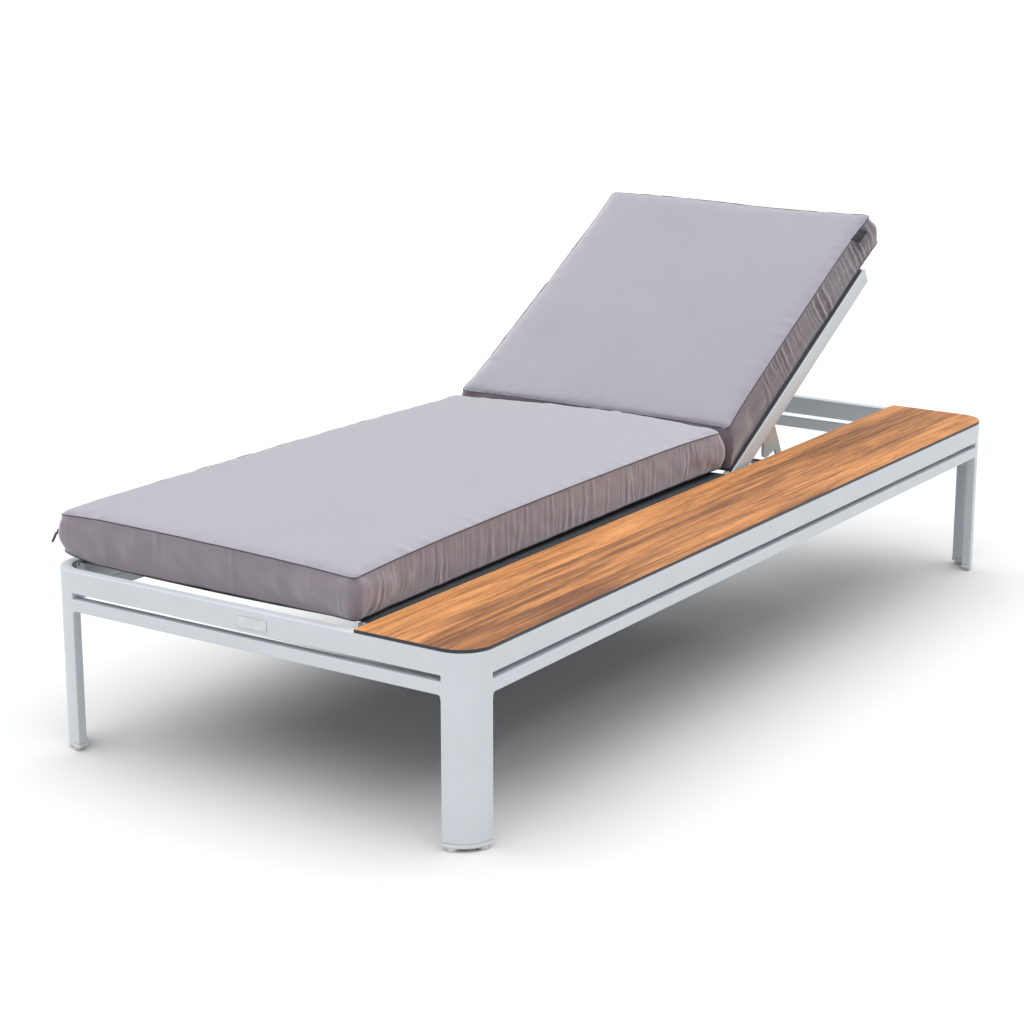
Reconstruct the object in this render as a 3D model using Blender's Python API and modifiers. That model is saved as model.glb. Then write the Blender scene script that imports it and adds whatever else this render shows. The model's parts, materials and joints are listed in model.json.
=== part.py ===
"""Sun lounger with a side shelf and a backrest that rests on notched racks.

Metres, +Z up. +Y runs from the foot end to the head end, +X is the shelf's side, and z = 0 is the floor.
The backrest is built at the angle of its fourth notch."""

import math

import bmesh
import bpy

# Whole lounger
LENGTH = 2.000
WIDTH = 0.910
FRAME_TOP = 0.335

# Clearances
FIT_GAP = 0.0003
OVERRUN = 0.004
MERGE = 0.00001

# Perimeter frame
CORNER_RADIUS = 0.060
TUBE_WIDTH = 0.020
TUBE_WALL = 0.002
TUBE_EDGE = 0.0015
UPPER_RAIL_HEIGHT = 0.040
RAIL_SLOT = 0.011
LOWER_RAIL_HEIGHT = 0.022

# Leg caps and glides
CAP_FLANGE = 0.0067
CAP_PLUG = 0.018
CAP_FIT = 0.0004
CAP_EDGE = 0.0005
GLIDE_HEIGHT = 0.0067
GLIDE_RADIUS = 0.0095
GLIDE_EDGE = 0.0018
GLIDE_FROM_ARM_END = 0.013
GLIDE_STEM_RADIUS = 0.004
GLIDE_STEM = 0.012
STEM_FIT = 0.0004

# Shelf and its carriers
SHELF_WIDTH = 0.2305
SHELF_THICKNESS = 0.006
SHELF_EDGE = 0.0006
BEARER_WIDTH = 0.030
BEARER_HEIGHT = 0.020
BEARER_WALL = 0.0015
BEARER_SPACING = 0.720

# Deck rails, for the seat and the backrest alike
DECK_SIDE_GAP = 0.007
DECK_RAIL_WIDTH = 0.020
DECK_RAIL_DEPTH = 0.035
DECK_RAIL_WALL = 0.002
DECK_RAIL_EDGE = 0.002
BORE_EDGE = 0.001
GROOVE_OFFSET = 0.0045
GROOVE_SLOT = 0.003
GROOVE_LIP = 0.0018
GROOVE_RADIUS = 0.0028
CROSS_TUBE_RADIUS = 0.011
CROSS_TUBE_WALL = 0.0015
CROSS_TUBE_DROP = 0.002

# Slings
SLING_THICKNESS = 0.0012
SLING_BEAD_RADIUS = 0.0021
SLING_END_GAP = 0.006

# Seat deck
SEAT_FOOT_GAP = 0.028
SEAT_HINGE_GAP = 0.005
SEAT_CROSS_FROM_FOOT = 0.092
SEAT_CROSS_FROM_HINGE = 0.053
BLOCK_LENGTH = 0.040
BLOCK_HEIGHT = 0.025
BLOCK_FROM_FOOT = 0.090
BLOCK_FROM_HINGE = 0.100

# Backrest
HINGE_Y = 0.268
BACK_LENGTH = 0.675
BACK_ANGLE = math.radians(30.25)
BACK_CROSS_FROM_HINGE = 0.045
BACK_CROSS_FROM_END = 0.020
HINGE_BOLT_RADIUS = 0.005
HINGE_HEAD_RADIUS = 0.0085
HINGE_HEAD_HEIGHT = 0.005
HINGE_HEAD_EDGE = 0.0015
HINGE_BOLT_PAST_WALL = 0.010
HINGE_SPACER_RADIUS = 0.013
BOLT_FIT = 0.0003

# Stay: two plates that hang from the backrest rails, joined by a cross rod
STAY_REACH = 0.2194
STAY_LEAN = math.radians(27.5)
STAY_RATIO = -2.699
STAY_INSET = 0.0055
STAY_PLATE = 0.005
STAY_PIVOT_RADIUS = 0.011
STAY_ARM = 0.153
STAY_ARM_RADIUS = 0.010
STAY_HEEL = 0.090
STAY_HEEL_ANGLE = math.radians(28.5)
STAY_HEEL_RADIUS = 0.014
STAY_CROTCH = 0.100
STAY_BOLT_RADIUS = 0.004
STAY_BOLT_HEAD_RADIUS = 0.008
STAY_BOLT_HEAD_HEIGHT = 0.0025
STAY_BOLT_PAST_WALL = 0.006
STAY_BUSH_RADIUS = 0.007
ROD_RADIUS = 0.006
ROD_END_GAP = 0.002

# Racks that hold the rod, on the rails beside the deck
RACK_THICKNESS = 0.004
RACK_STRIP = 0.014
RACK_CREST_GAP = 0.001
RACK_NOTCH = 0.0045
RACK_RAMP = math.radians(32)
RACK_EAR = 0.030
RACK_EAR_GAP = 0.0015
RACK_EAR_FROM_TOP = 0.008
TURN_FLAT = -BACK_ANGLE
TURN_TOP = math.radians(15)
NOTCH_TURNS = [math.radians(turn) for turn in (-22, -15, -8, 0, 8, 15)]

# Cushions
CUSHION_SIDE_GAP = 0.0125
SEAT_CUSHION_FOOT = 0.020
SEAT_CUSHION_TO_HINGE = 0.023
SEAT_CUSHION_REAR_LEAN = 0.012
SEAT_CUSHION_THICKNESS = 0.091
BACK_CUSHION_THICKNESS = 0.078
BACK_CUSHION_OVER_END = 0.105
BACK_CUSHION_FROM_HINGE = 0.008
BACK_CUSHION_LOWER_LEAN = 0.047
CUSHION_CROWN = 0.009
CUSHION_DRAW_IN = 0.005
CUSHION_SIDE_SWELL = 0.003

# Places that follow from the sizes above
HALF_WIDTH = WIDTH / 2
HALF_LENGTH = LENGTH / 2
UPPER_BOTTOM = FRAME_TOP - UPPER_RAIL_HEIGHT
LOWER_TOP = UPPER_BOTTOM - RAIL_SLOT
CAP_BOTTOM = GLIDE_HEIGHT + FIT_GAP
LEG_BOTTOM = CAP_BOTTOM + CAP_FLANGE + FIT_GAP
RAIL_MIDDLE = TUBE_WIDTH / 2
SHELF_INNER = HALF_WIDTH - SHELF_WIDTH
LEFT_INNER = TUBE_WIDTH - HALF_WIDTH
DECK_CENTRE = (SHELF_INNER + LEFT_INNER) / 2
DECK_HALF = (SHELF_INNER - LEFT_INNER) / 2
DECK_RAIL_OFFSET = DECK_HALF - DECK_SIDE_GAP - DECK_RAIL_WIDTH / 2
DECK_RAIL_INNER = DECK_RAIL_OFFSET - DECK_RAIL_WIDTH / 2
HINGE_Z = FRAME_TOP - DECK_RAIL_DEPTH / 2
SEAT_FOOT = TUBE_WIDTH + SEAT_FOOT_GAP - HALF_LENGTH - HINGE_Y
SEAT_END = -DECK_RAIL_DEPTH / 2 - SEAT_HINGE_GAP
SLING_TOP = DECK_RAIL_DEPTH / 2 + FIT_GAP + SLING_THICKNESS

ALONG_X = (math.pi / 2, 0, math.pi / 2)
ALONG_Y = (math.pi / 2, 0, 0)
UPRIGHT = (0, 0, 0)
SIDES = {"right": 1, "left": -1}
CORNERS = {
    "head_right": (1, 1, 0),
    "head_left": (-1, 1, math.pi / 2),
    "foot_left": (-1, -1, math.pi),
    "foot_right": (1, -1, -math.pi / 2),
}


def clear_scene():
    for found in list(bpy.data.objects):
        bpy.data.objects.remove(found, do_unlink=True)


def new_collection(name):
    made = bpy.data.collections.new(name)
    bpy.context.scene.collection.children.link(made)
    return made


def material(name, colour, roughness, metallic=0.0):
    made = bpy.data.materials.new(name)
    made.use_nodes = True
    shader = made.node_tree.nodes["Principled BSDF"]
    shader.inputs["Base Color"].default_value = (*colour, 1)
    shader.inputs["Roughness"].default_value = roughness
    shader.inputs["Metallic"].default_value = metallic
    return made


def axis_empty(name, location, turn=0.0, parent=None):
    """An empty on a joint's axis, whose children are laid out as if the part lay flat."""
    empty = bpy.data.objects.new(name, None)
    empty.parent = parent
    empty.location = location
    empty.rotation_euler = (turn, 0, 0)
    bpy.context.scene.collection.objects.link(empty)
    return empty


def place(made, collection, location, rotation, parent, finish=None):
    """Puts an object in its collection, at its place under its parent, with its finish."""
    for home in list(made.users_collection):
        home.objects.unlink(made)
    collection.objects.link(made)
    made.parent = parent
    made.location = location
    made.rotation_euler = rotation
    if finish:
        made.data.materials.clear()
        made.data.materials.append(finish)
    return made


def arc(centre, radius, start, end, steps):
    """Points along an arc, from angle start to angle end."""
    turns = [start + (end - start) * step / steps for step in range(steps + 1)]
    return [(centre[0] + radius * math.cos(t), centre[1] + radius * math.sin(t)) for t in turns]


def rounded_box(width, height, radius, steps=3):
    """A box outline round the origin, with rounded corners."""
    across = width / 2 - radius
    up = height / 2 - radius
    points = []
    for quarter, (x, y) in enumerate(((across, up), (-across, up), (-across, -up), (across, -up))):
        start = quarter * math.pi / 2
        points += arc((x, y), radius, start, start + math.pi / 2, steps)
    return points


def circle(radius, steps, centre=(0, 0)):
    return arc(centre, radius, 0, 2 * math.pi, steps)[:-1]


def sector(inset, steps):
    """The quarter-round leg's outline, drawn in by inset, round the corner's arc centre."""
    outer = CORNER_RADIUS - inset
    inner = CORNER_RADIUS - TUBE_WIDTH + inset
    outer_start = math.asin(inset / outer)
    inner_start = math.asin(inset / inner)
    quarter = math.pi / 2
    return (arc((0, 0), outer, outer_start, quarter - outer_start, steps)
            + arc((0, 0), inner, quarter - inner_start, inner_start, steps))


def prism(name, outlines, depth, edge=0.0):
    """A flat outline, with any holes in it, given a depth along its own Z and rounded rims."""
    curve = bpy.data.curves.new(name, "CURVE")
    curve.dimensions = "2D"
    curve.fill_mode = "BOTH"
    curve.extrude = depth / 2 - edge
    curve.bevel_depth = edge
    curve.bevel_resolution = 1
    curve.offset = -edge
    for outline in outlines:
        spline = curve.splines.new("POLY")
        spline.points.add(len(outline) - 1)
        for point, (x, y) in zip(spline.points, outline):
            point.co = (x, y, 0, 1)
        spline.use_cyclic_u = True
    drawn = bpy.data.objects.new(name + "_outline", curve)
    bpy.context.scene.collection.objects.link(drawn)
    made = as_mesh(drawn, name)
    bpy.data.curves.remove(curve)
    return made


def as_mesh(drawn, name):
    """A mesh object made from a curve object, with its caps welded on."""
    bpy.context.view_layer.update()
    found = drawn.evaluated_get(bpy.context.evaluated_depsgraph_get())
    mesh = bpy.data.meshes.new_from_object(found)
    mesh.name = name
    work = bmesh.new()
    work.from_mesh(mesh)
    bmesh.ops.remove_doubles(work, verts=work.verts, dist=MERGE)
    bmesh.ops.recalc_face_normals(work, faces=work.faces)
    work.to_mesh(mesh)
    work.free()
    made = bpy.data.objects.new(name, mesh)
    made.matrix_world = drawn.matrix_world
    bpy.data.objects.remove(drawn, do_unlink=True)
    bpy.context.scene.collection.objects.link(made)
    return made


def turned(name, profile, steps, ring=False):
    """A profile of (radius, height) points, top to bottom on the outer side, turned round Z."""
    count = len(profile)
    edges = [(index, index + 1) for index in range(count - 1)]
    if ring:
        edges.append((count - 1, 0))
    mesh = bpy.data.meshes.new(name)
    mesh.from_pydata([(radius, 0, height) for radius, height in profile], edges, [])
    made = bpy.data.objects.new(name, mesh)
    bpy.context.scene.collection.objects.link(made)
    screw = made.modifiers.new("turned", "SCREW")
    screw.steps = steps
    screw.render_steps = steps
    screw.use_merge_vertices = True
    screw.merge_threshold = MERGE
    screw.use_smooth_shade = True
    return made


def rod(name, radius, length, steps):
    """A round bar along its own Z."""
    bpy.ops.mesh.primitive_cylinder_add(vertices=steps, radius=radius, depth=length)
    made = bpy.context.active_object
    made.name = name
    made.data.name = name
    made.data.shade_smooth()
    made.data.set_sharp_from_angle(angle=math.radians(40))
    return made


def boolean(target, tool, operation="DIFFERENCE"):
    """Cuts a shape out of a piece, or joins it on, and keeps the shape as a wire guide."""
    place(tool, CUTTERS, tool.location, tool.rotation_euler, tool.parent)
    tool.hide_render = True
    tool.display_type = "WIRE"
    step = target.modifiers.new(tool.name, "BOOLEAN")
    step.operation = operation
    step.object = tool
    step.solver = "EXACT"


def cutter(target, tool, location, rotation=UPRIGHT, parent=None):
    tool.location = location
    tool.rotation_euler = rotation
    tool.parent = parent
    boolean(target, tool)


def box_tube(name, width, height, length, wall, edge):
    """A rectangular tube along its own Z, open at both ends."""
    outer = rounded_box(width, height, edge)
    inner = rounded_box(width - 2 * wall, height - 2 * wall, BORE_EDGE, 1)
    return prism(name, [outer, inner], length)


def build_legs():
    """Quarter-round legs: hollow profiles, closed at the frame's top and open underneath."""
    height = FRAME_TOP - LEG_BOTTOM
    hollow = height - TUBE_WALL + OVERRUN
    for corner, (side, end, turn) in CORNERS.items():
        x = side * (HALF_WIDTH - CORNER_RADIUS)
        y = end * (HALF_LENGTH - CORNER_RADIUS)
        leg = prism("leg_" + corner, [sector(0, 12)], height, TUBE_EDGE)
        place(leg, PARTS, (x, y, LEG_BOTTOM + height / 2), (0, 0, turn), None, PAINT)
        bore = prism("leg_bore_" + corner, [sector(TUBE_WALL, 8)], hollow)
        cutter(leg, bore, (x, y, LEG_BOTTOM - OVERRUN + hollow / 2), (0, 0, turn))
        build_cap(corner, x, y, turn)


def build_cap(corner, x, y, turn):
    """A leg's plastic plug: a flange of the leg's outline, a plug inside it and two glides."""
    cap = prism("leg_cap_" + corner, [sector(0, 12)], CAP_FLANGE, CAP_EDGE)
    place(cap, PARTS, (x, y, CAP_BOTTOM + CAP_FLANGE / 2), (0, 0, turn), None, CAP_PLASTIC)
    plug_height = CAP_PLUG + CAP_FLANGE / 2
    plug = prism("cap_plug_" + corner, [sector(TUBE_WALL + CAP_FIT, 8)], plug_height)
    plug.location = (x, y, CAP_BOTTOM + CAP_FLANGE / 2 + plug_height / 2)
    plug.rotation_euler = (0, 0, turn)
    boolean(cap, plug, "UNION")
    middle = CORNER_RADIUS - TUBE_WIDTH / 2
    from_end = math.asin(GLIDE_FROM_ARM_END / middle)
    hole_height = GLIDE_STEM + STEM_FIT + OVERRUN
    for arm, angle in (("side", from_end), ("end", math.pi / 2 - from_end)):
        if turn in (math.pi / 2, -math.pi / 2):
            angle = math.pi / 2 - angle
        across = x + middle * math.cos(turn + angle)
        along = y + middle * math.sin(turn + angle)
        hole = rod("glide_hole_" + corner + "_" + arm, GLIDE_STEM_RADIUS + STEM_FIT, hole_height, 16)
        cutter(cap, hole, (across, along, CAP_BOTTOM - OVERRUN + hole_height / 2))
        build_glide("glide_" + corner + "_" + arm, across, along)


def build_glide(name, x, y):
    """A round foot with a stem that is pressed into the leg's cap."""
    flat = GLIDE_RADIUS - GLIDE_EDGE
    lower_rim = arc((flat, GLIDE_EDGE), GLIDE_EDGE, 0, -math.pi / 2, 3)
    stem_top = CAP_BOTTOM + GLIDE_STEM
    profile = [(0, stem_top), (GLIDE_STEM_RADIUS, stem_top), (GLIDE_STEM_RADIUS, GLIDE_HEIGHT),
               (GLIDE_RADIUS, GLIDE_HEIGHT)] + lower_rim + [(0, 0)]
    place(turned(name, profile, 20), PARTS, (x, y, 0), UPRIGHT, None, GLIDE_PLASTIC)


def build_frame_rails():
    """The tall upper and low lower rails, which run straight from leg to leg."""
    side_length = LENGTH - 2 * (CORNER_RADIUS + FIT_GAP)
    end_length = WIDTH - 2 * (CORNER_RADIUS + FIT_GAP)
    levels = {
        "upper": (UPPER_BOTTOM, UPPER_RAIL_HEIGHT),
        "lower": (LOWER_TOP - LOWER_RAIL_HEIGHT, LOWER_RAIL_HEIGHT),
    }
    for level, (bottom, height) in levels.items():
        z = bottom + height / 2
        for end, sign in {"head": 1, "foot": -1}.items():
            rail = box_tube(level + "_rail_" + end, TUBE_WIDTH, height, end_length, TUBE_WALL, TUBE_EDGE)
            place(rail, PARTS, (0, sign * (HALF_LENGTH - RAIL_MIDDLE), z), ALONG_X, None, PAINT)
        for side, sign in SIDES.items():
            rail = box_tube(level + "_rail_" + side, TUBE_WIDTH, height, side_length, TUBE_WALL, TUBE_EDGE)
            place(rail, PARTS, (sign * (HALF_WIDTH - RAIL_MIDDLE), 0, z), ALONG_Y, None, PAINT)
            if level == "upper" and side == "left":
                drill_hinge_hole(rail, side, sign)


def drill_hinge_hole(rail, side, sign):
    """The hole for the hinge bolt in the rail's wall that faces the deck."""
    depth = TUBE_WALL + 2 * OVERRUN
    hole = rod("hinge_hole_" + side, HINGE_BOLT_RADIUS + BOLT_FIT, depth, 20)
    x = DECK_CENTRE + sign * (DECK_HALF + TUBE_WALL / 2)
    cutter(rail, hole, (x, HINGE_Y, HINGE_Z), (0, math.pi / 2, 0))


def build_shelf():
    """The laminate shelf, with rounded outer corners, on the inner rail and three bearers."""
    inner_length = LENGTH - 2 * (TUBE_WIDTH + FIT_GAP)
    inner = box_tube("inner_rail", TUBE_WIDTH, UPPER_RAIL_HEIGHT, inner_length, TUBE_WALL, TUBE_EDGE)
    z = UPPER_BOTTOM + UPPER_RAIL_HEIGHT / 2
    place(inner, PARTS, (SHELF_INNER + RAIL_MIDDLE, 0, z), ALONG_Y, None, PAINT)
    drill_hinge_hole(inner, "right", 1)

    quarter = math.pi / 2
    corner_x = HALF_WIDTH - CORNER_RADIUS
    corner_y = HALF_LENGTH - CORNER_RADIUS
    outline = ([(SHELF_INNER, -HALF_LENGTH)]
               + arc((corner_x, -corner_y), CORNER_RADIUS, -quarter, 0, 12)
               + arc((corner_x, corner_y), CORNER_RADIUS, 0, quarter, 12)
               + [(SHELF_INNER, HALF_LENGTH)])
    board = prism("shelf_board", [outline], SHELF_THICKNESS, SHELF_EDGE)
    place(board, PARTS, (0, 0, FRAME_TOP + FIT_GAP + SHELF_THICKNESS / 2), UPRIGHT, None, LAMINATE)

    inner_end = SHELF_INNER + TUBE_WIDTH + FIT_GAP
    outer_end = HALF_WIDTH - TUBE_WIDTH - FIT_GAP
    for name, step in {"foot": -1, "middle": 0, "head": 1}.items():
        bearer = box_tube("shelf_bearer_" + name, BEARER_WIDTH, BEARER_HEIGHT, outer_end - inner_end,
                          BEARER_WALL, TUBE_EDGE)
        centre = ((inner_end + outer_end) / 2, step * BEARER_SPACING, FRAME_TOP - BEARER_HEIGHT / 2)
        place(bearer, PARTS, centre, ALONG_X, None, PAINT)


def deck_rail_outline(side):
    """A deck rail's section, with a keyhole groove for the sling's bead in its top face, near its outer edge."""
    top = DECK_RAIL_DEPTH / 2
    slot = GROOVE_SLOT / 2
    across = side * GROOVE_OFFSET
    opening = math.asin(slot / GROOVE_RADIUS)
    centre = (across, top - GROOVE_LIP - GROOVE_RADIUS * math.cos(opening))
    chamber = arc(centre, GROOVE_RADIUS, math.pi / 2 - opening, opening - 3 * math.pi / 2, 12)
    corner_steps = 2
    body = rounded_box(DECK_RAIL_WIDTH, DECK_RAIL_DEPTH, DECK_RAIL_EDGE, corner_steps)
    top_right = corner_steps + 1
    return body[:top_right] + [(across + slot, top)] + chamber + [(across - slot, top)] + body[top_right:]


def build_deck_rail(name, start, end, side, closed_end, parent):
    """A grooved side rail of a deck, from start to end along the deck, counted from the hinge.

    It is hollow, and shut at its closed end: 1 for the far end, -1 for the near one."""
    rail = prism(name, [deck_rail_outline(side)], end - start)
    x = side * DECK_RAIL_OFFSET
    place(rail, PARTS, (x, (start + end) / 2, 0), ALONG_Y, parent, PAINT)
    groove_depth = GROOVE_LIP + 2 * GROOVE_RADIUS
    bore_top = DECK_RAIL_DEPTH / 2 - groove_depth - DECK_RAIL_WALL
    bore_bottom = DECK_RAIL_WALL - DECK_RAIL_DEPTH / 2
    bore_outline = rounded_box(DECK_RAIL_WIDTH - 2 * DECK_RAIL_WALL, bore_top - bore_bottom, BORE_EDGE, 1)
    bore = prism(name + "_bore", [bore_outline], end - start - DECK_RAIL_WALL + OVERRUN)
    middle = (start + end - closed_end * (DECK_RAIL_WALL + OVERRUN)) / 2
    cutter(rail, bore, (x, middle, (bore_top + bore_bottom) / 2), ALONG_Y, parent)
    return rail


def build_cross_tube(name, along, parent):
    """A round tube between two deck rails, low enough to stay clear of a loaded sling."""
    outlines = [circle(CROSS_TUBE_RADIUS, 24), circle(CROSS_TUBE_RADIUS - CROSS_TUBE_WALL, 24)]
    tube = prism(name, outlines, 2 * (DECK_RAIL_INNER - FIT_GAP))
    place(tube, PARTS, (0, along, -CROSS_TUBE_DROP), ALONG_X, parent, PAINT)


def build_sling(name, start, end, parent):
    """Cloth over two deck rails, whose hems go down into the grooves and hold a bead there."""
    half = SLING_THICKNESS / 2
    rail_top = DECK_RAIL_DEPTH / 2
    neck = math.asin(half / SLING_BEAD_RADIUS)
    opening = math.asin(GROOVE_SLOT / 2 / GROOVE_RADIUS)
    groove = DECK_RAIL_OFFSET + GROOVE_OFFSET
    bead = (groove, rail_top - GROOVE_LIP - GROOVE_RADIUS * math.cos(opening))
    quarter = math.pi / 2
    fold = (groove - half, rail_top + FIT_GAP)
    right = ([fold] + arc(bead, SLING_BEAD_RADIUS, quarter + neck, 5 * quarter - neck, 10)
             + arc(fold, SLING_THICKNESS, 0, quarter, 3))
    left = [(-x, y) for x, y in reversed(right)]
    sling = prism(name, [right + left], end - start)
    place(sling, PARTS, (0, (start + end) / 2, 0), ALONG_Y, parent, SLING_CLOTH)


def build_seat_deck(deck):
    """Seat rails, cross tubes, sling and the blocks that join the deck to the rails beside it."""
    for side, sign in SIDES.items():
        build_deck_rail("seat_rail_" + side, SEAT_FOOT, SEAT_END, sign, -1, deck)
    first = SEAT_FOOT + SEAT_CROSS_FROM_FOOT
    last = -SEAT_CROSS_FROM_HINGE
    for name, along in {"foot": first, "middle": (first + last) / 2, "hinge": last}.items():
        build_cross_tube("seat_cross_" + name, along, deck)
    build_sling("seat_sling", SEAT_FOOT + SLING_END_GAP, SEAT_END - SLING_END_GAP, deck)
    thickness = DECK_SIDE_GAP - 2 * FIT_GAP
    for place_name, along in {"foot": SEAT_FOOT + BLOCK_FROM_FOOT, "hinge": -BLOCK_FROM_HINGE}.items():
        for side, sign in SIDES.items():
            outline = rounded_box(BLOCK_LENGTH, BLOCK_HEIGHT, TUBE_EDGE, 2)
            block = prism("seat_block_" + place_name + "_" + side, [outline], thickness)
            x = sign * (DECK_HALF - DECK_SIDE_GAP / 2)
            place(block, PARTS, (x, along, 0), ALONG_X, deck, PAINT)


def build_hinges(deck):
    """Hinge bolts through the backrest rails and their spacers, into the rails beside the deck."""
    shank_start = DECK_RAIL_INNER - FIT_GAP
    shank_end = DECK_HALF + TUBE_WALL + HINGE_BOLT_PAST_WALL
    length = shank_end - shank_start
    edge = HINGE_HEAD_EDGE
    dome = arc((HINGE_HEAD_RADIUS - edge, edge - HINGE_HEAD_HEIGHT), edge, 0, -math.pi / 2, 3)
    bolt_profile = ([(0, length), (HINGE_BOLT_RADIUS, length), (HINGE_BOLT_RADIUS, 0)]
                    + [(HINGE_HEAD_RADIUS, 0)] + dome + [(0, -HINGE_HEAD_HEIGHT)])
    thickness = DECK_SIDE_GAP - 2 * FIT_GAP
    bore = HINGE_BOLT_RADIUS + BOLT_FIT
    ring_profile = [(bore, thickness / 2), (HINGE_SPACER_RADIUS, thickness / 2),
                    (HINGE_SPACER_RADIUS, -thickness / 2), (bore, -thickness / 2)]
    for side, sign in SIDES.items():
        outward = (0, sign * math.pi / 2, 0)
        bolt = turned("hinge_bolt_" + side, bolt_profile, 20)
        place(bolt, PARTS, (sign * shank_start, 0, 0), outward, deck, STEEL)
        ring = turned("hinge_spacer_" + side, ring_profile, 24, ring=True)
        place(ring, PARTS, (sign * (DECK_HALF - DECK_SIDE_GAP / 2), 0, 0), outward, deck, BUSH_PLASTIC)


def build_backrest(back):
    """Backrest rails with rounded hinge ends, their cross tubes and the back sling."""
    half = DECK_RAIL_DEPTH / 2
    over = half + OVERRUN
    rounding = arc((0, 0), half, -math.pi / 2, -3 * math.pi / 2, 16)
    bite = [(0, over), (-over, over), (-over, -over), (0, -over)] + rounding
    hole_length = DECK_RAIL_WIDTH + 2 * OVERRUN
    for side, sign in SIDES.items():
        rail = build_deck_rail("back_rail_" + side, -half, BACK_LENGTH, sign, 1, back)
        x = sign * DECK_RAIL_OFFSET
        cutter(rail, prism("hinge_end_" + side, [bite], hole_length), (x, 0, 0), ALONG_X, back)
        pin = rod("hinge_bore_" + side, HINGE_BOLT_RADIUS + BOLT_FIT, hole_length, 20)
        cutter(rail, pin, (x, 0, 0), (0, math.pi / 2, 0), back)
        pin = rod("stay_bore_" + side, STAY_BOLT_RADIUS + BOLT_FIT, DECK_RAIL_WALL + 2 * OVERRUN, 20)
        inner_wall = sign * (DECK_RAIL_INNER + DECK_RAIL_WALL / 2)
        cutter(rail, pin, (inner_wall, STAY_REACH, 0), (0, math.pi / 2, 0), back)
    build_cross_tube("back_cross_hinge", BACK_CROSS_FROM_HINGE, back)
    build_cross_tube("back_cross_head", BACK_LENGTH - BACK_CROSS_FROM_END, back)
    build_sling("back_sling", SLING_END_GAP, BACK_LENGTH - SLING_END_GAP, back)


def build_stay_bolts(back):
    """Stay bolts: a shank that screws into the rail's inner wall, a bush between rail and plate, and a low
    head on the plate. The rail's outer face stays whole."""
    shank_end = DECK_RAIL_WALL + STAY_BOLT_PAST_WALL
    bush_end = STAY_INSET - FIT_GAP
    plate_end = STAY_INSET + STAY_PLATE + FIT_GAP
    head_end = plate_end + STAY_BOLT_HEAD_HEIGHT
    profile = [
        (0, shank_end),
        (STAY_BOLT_RADIUS, shank_end),
        (STAY_BOLT_RADIUS, -FIT_GAP),
        (STAY_BUSH_RADIUS, -FIT_GAP),
        (STAY_BUSH_RADIUS, -bush_end),
        (STAY_BOLT_RADIUS, -bush_end),
        (STAY_BOLT_RADIUS, -plate_end),
        (STAY_BOLT_HEAD_RADIUS, -plate_end),
        (STAY_BOLT_HEAD_RADIUS, -head_end),
        (0, -head_end),
    ]
    for side, sign in SIDES.items():
        bolt = turned("stay_bolt_" + side, profile, 20)
        place(bolt, PARTS, (sign * DECK_RAIL_INNER, STAY_REACH, 0), (0, sign * math.pi / 2, 0), back, STEEL)


def touching_angle(first, first_radius, second, second_radius, side):
    """The angle on both circles at which one straight line touches them, from the first to the second,
    on the left of the way (side 1) or on its right (side -1)."""
    run = (second[0] - first[0], second[1] - first[1])
    spread = math.acos((first_radius - second_radius) / math.hypot(*run))
    return math.atan2(run[1], run[0]) + side * spread


def stay_outline():
    """The stay plate: a round pivot, an arm to the rod and a rounded heel, with a web between them."""
    pivot = (0, 0)
    foot = (0, -STAY_ARM)
    heel = (-STAY_HEEL * math.sin(STAY_HEEL_ANGLE), -STAY_HEEL * math.cos(STAY_HEEL_ANGLE))
    arm_right = touching_angle(pivot, STAY_PIVOT_RADIUS, foot, STAY_ARM_RADIUS, 1)
    heel_left = touching_angle(pivot, STAY_PIVOT_RADIUS, heel, STAY_HEEL_RADIUS, -1)
    crotch = (-STAY_ARM_RADIUS, -STAY_CROTCH)
    heel_low = touching_angle(heel, STAY_HEEL_RADIUS, crotch, 0, -1)
    full = 2 * math.pi
    around_pivot = arc(pivot, STAY_PIVOT_RADIUS, arm_right, heel_left + full, 10)
    around_heel = arc(heel, STAY_HEEL_RADIUS, heel_left + full, heel_low + full, 8)
    around_foot = arc(foot, STAY_ARM_RADIUS, -math.pi, arm_right, 10)
    return around_pivot + around_heel + [crotch] + around_foot


def build_stay(stay):
    """Two stay plates and the rod through their lower ends, which reaches over both racks."""
    holes = [circle(STAY_BOLT_RADIUS + BOLT_FIT, 16), circle(ROD_RADIUS + BOLT_FIT, 20, (0, -STAY_ARM))]
    offset = DECK_RAIL_INNER - STAY_INSET - STAY_PLATE / 2
    for side, sign in SIDES.items():
        plate = prism("stay_plate_" + side, [stay_outline()] + holes, STAY_PLATE)
        place(plate, PARTS, (sign * offset, 0, 0), ALONG_X, stay, STEEL)
    bar = rod("stay_rod", ROD_RADIUS, 2 * (DECK_HALF - ROD_END_GAP), 24)
    place(bar, PARTS, (0, 0, -STAY_ARM), (0, math.pi / 2, 0), stay, STEEL)


def rod_place(turn):
    """The rod's centre (y, z) once the backrest has turned by turn from the built angle."""
    angle = BACK_ANGLE + turn
    lean = STAY_LEAN + (1 + STAY_RATIO) * turn
    y = HINGE_Y + STAY_REACH * math.cos(angle) + STAY_ARM * math.sin(lean)
    z = HINGE_Z + STAY_REACH * math.sin(angle) - STAY_ARM * math.cos(lean)
    return y, z


def rod_heading(turn, step=math.radians(0.05)):
    """The direction in which the rod moves as the backrest rises, as an angle in the (y, z) plane."""
    before = rod_place(turn - step)
    after = rod_place(turn + step)
    return math.atan2(after[1] - before[1], after[0] - before[0])


def below_rod(turn, distance):
    """The point at a distance under the rod's path, square to it."""
    y, z = rod_place(turn)
    square = rod_heading(turn) + math.pi / 2
    return y + distance * math.cos(square), z + distance * math.sin(square)


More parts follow.
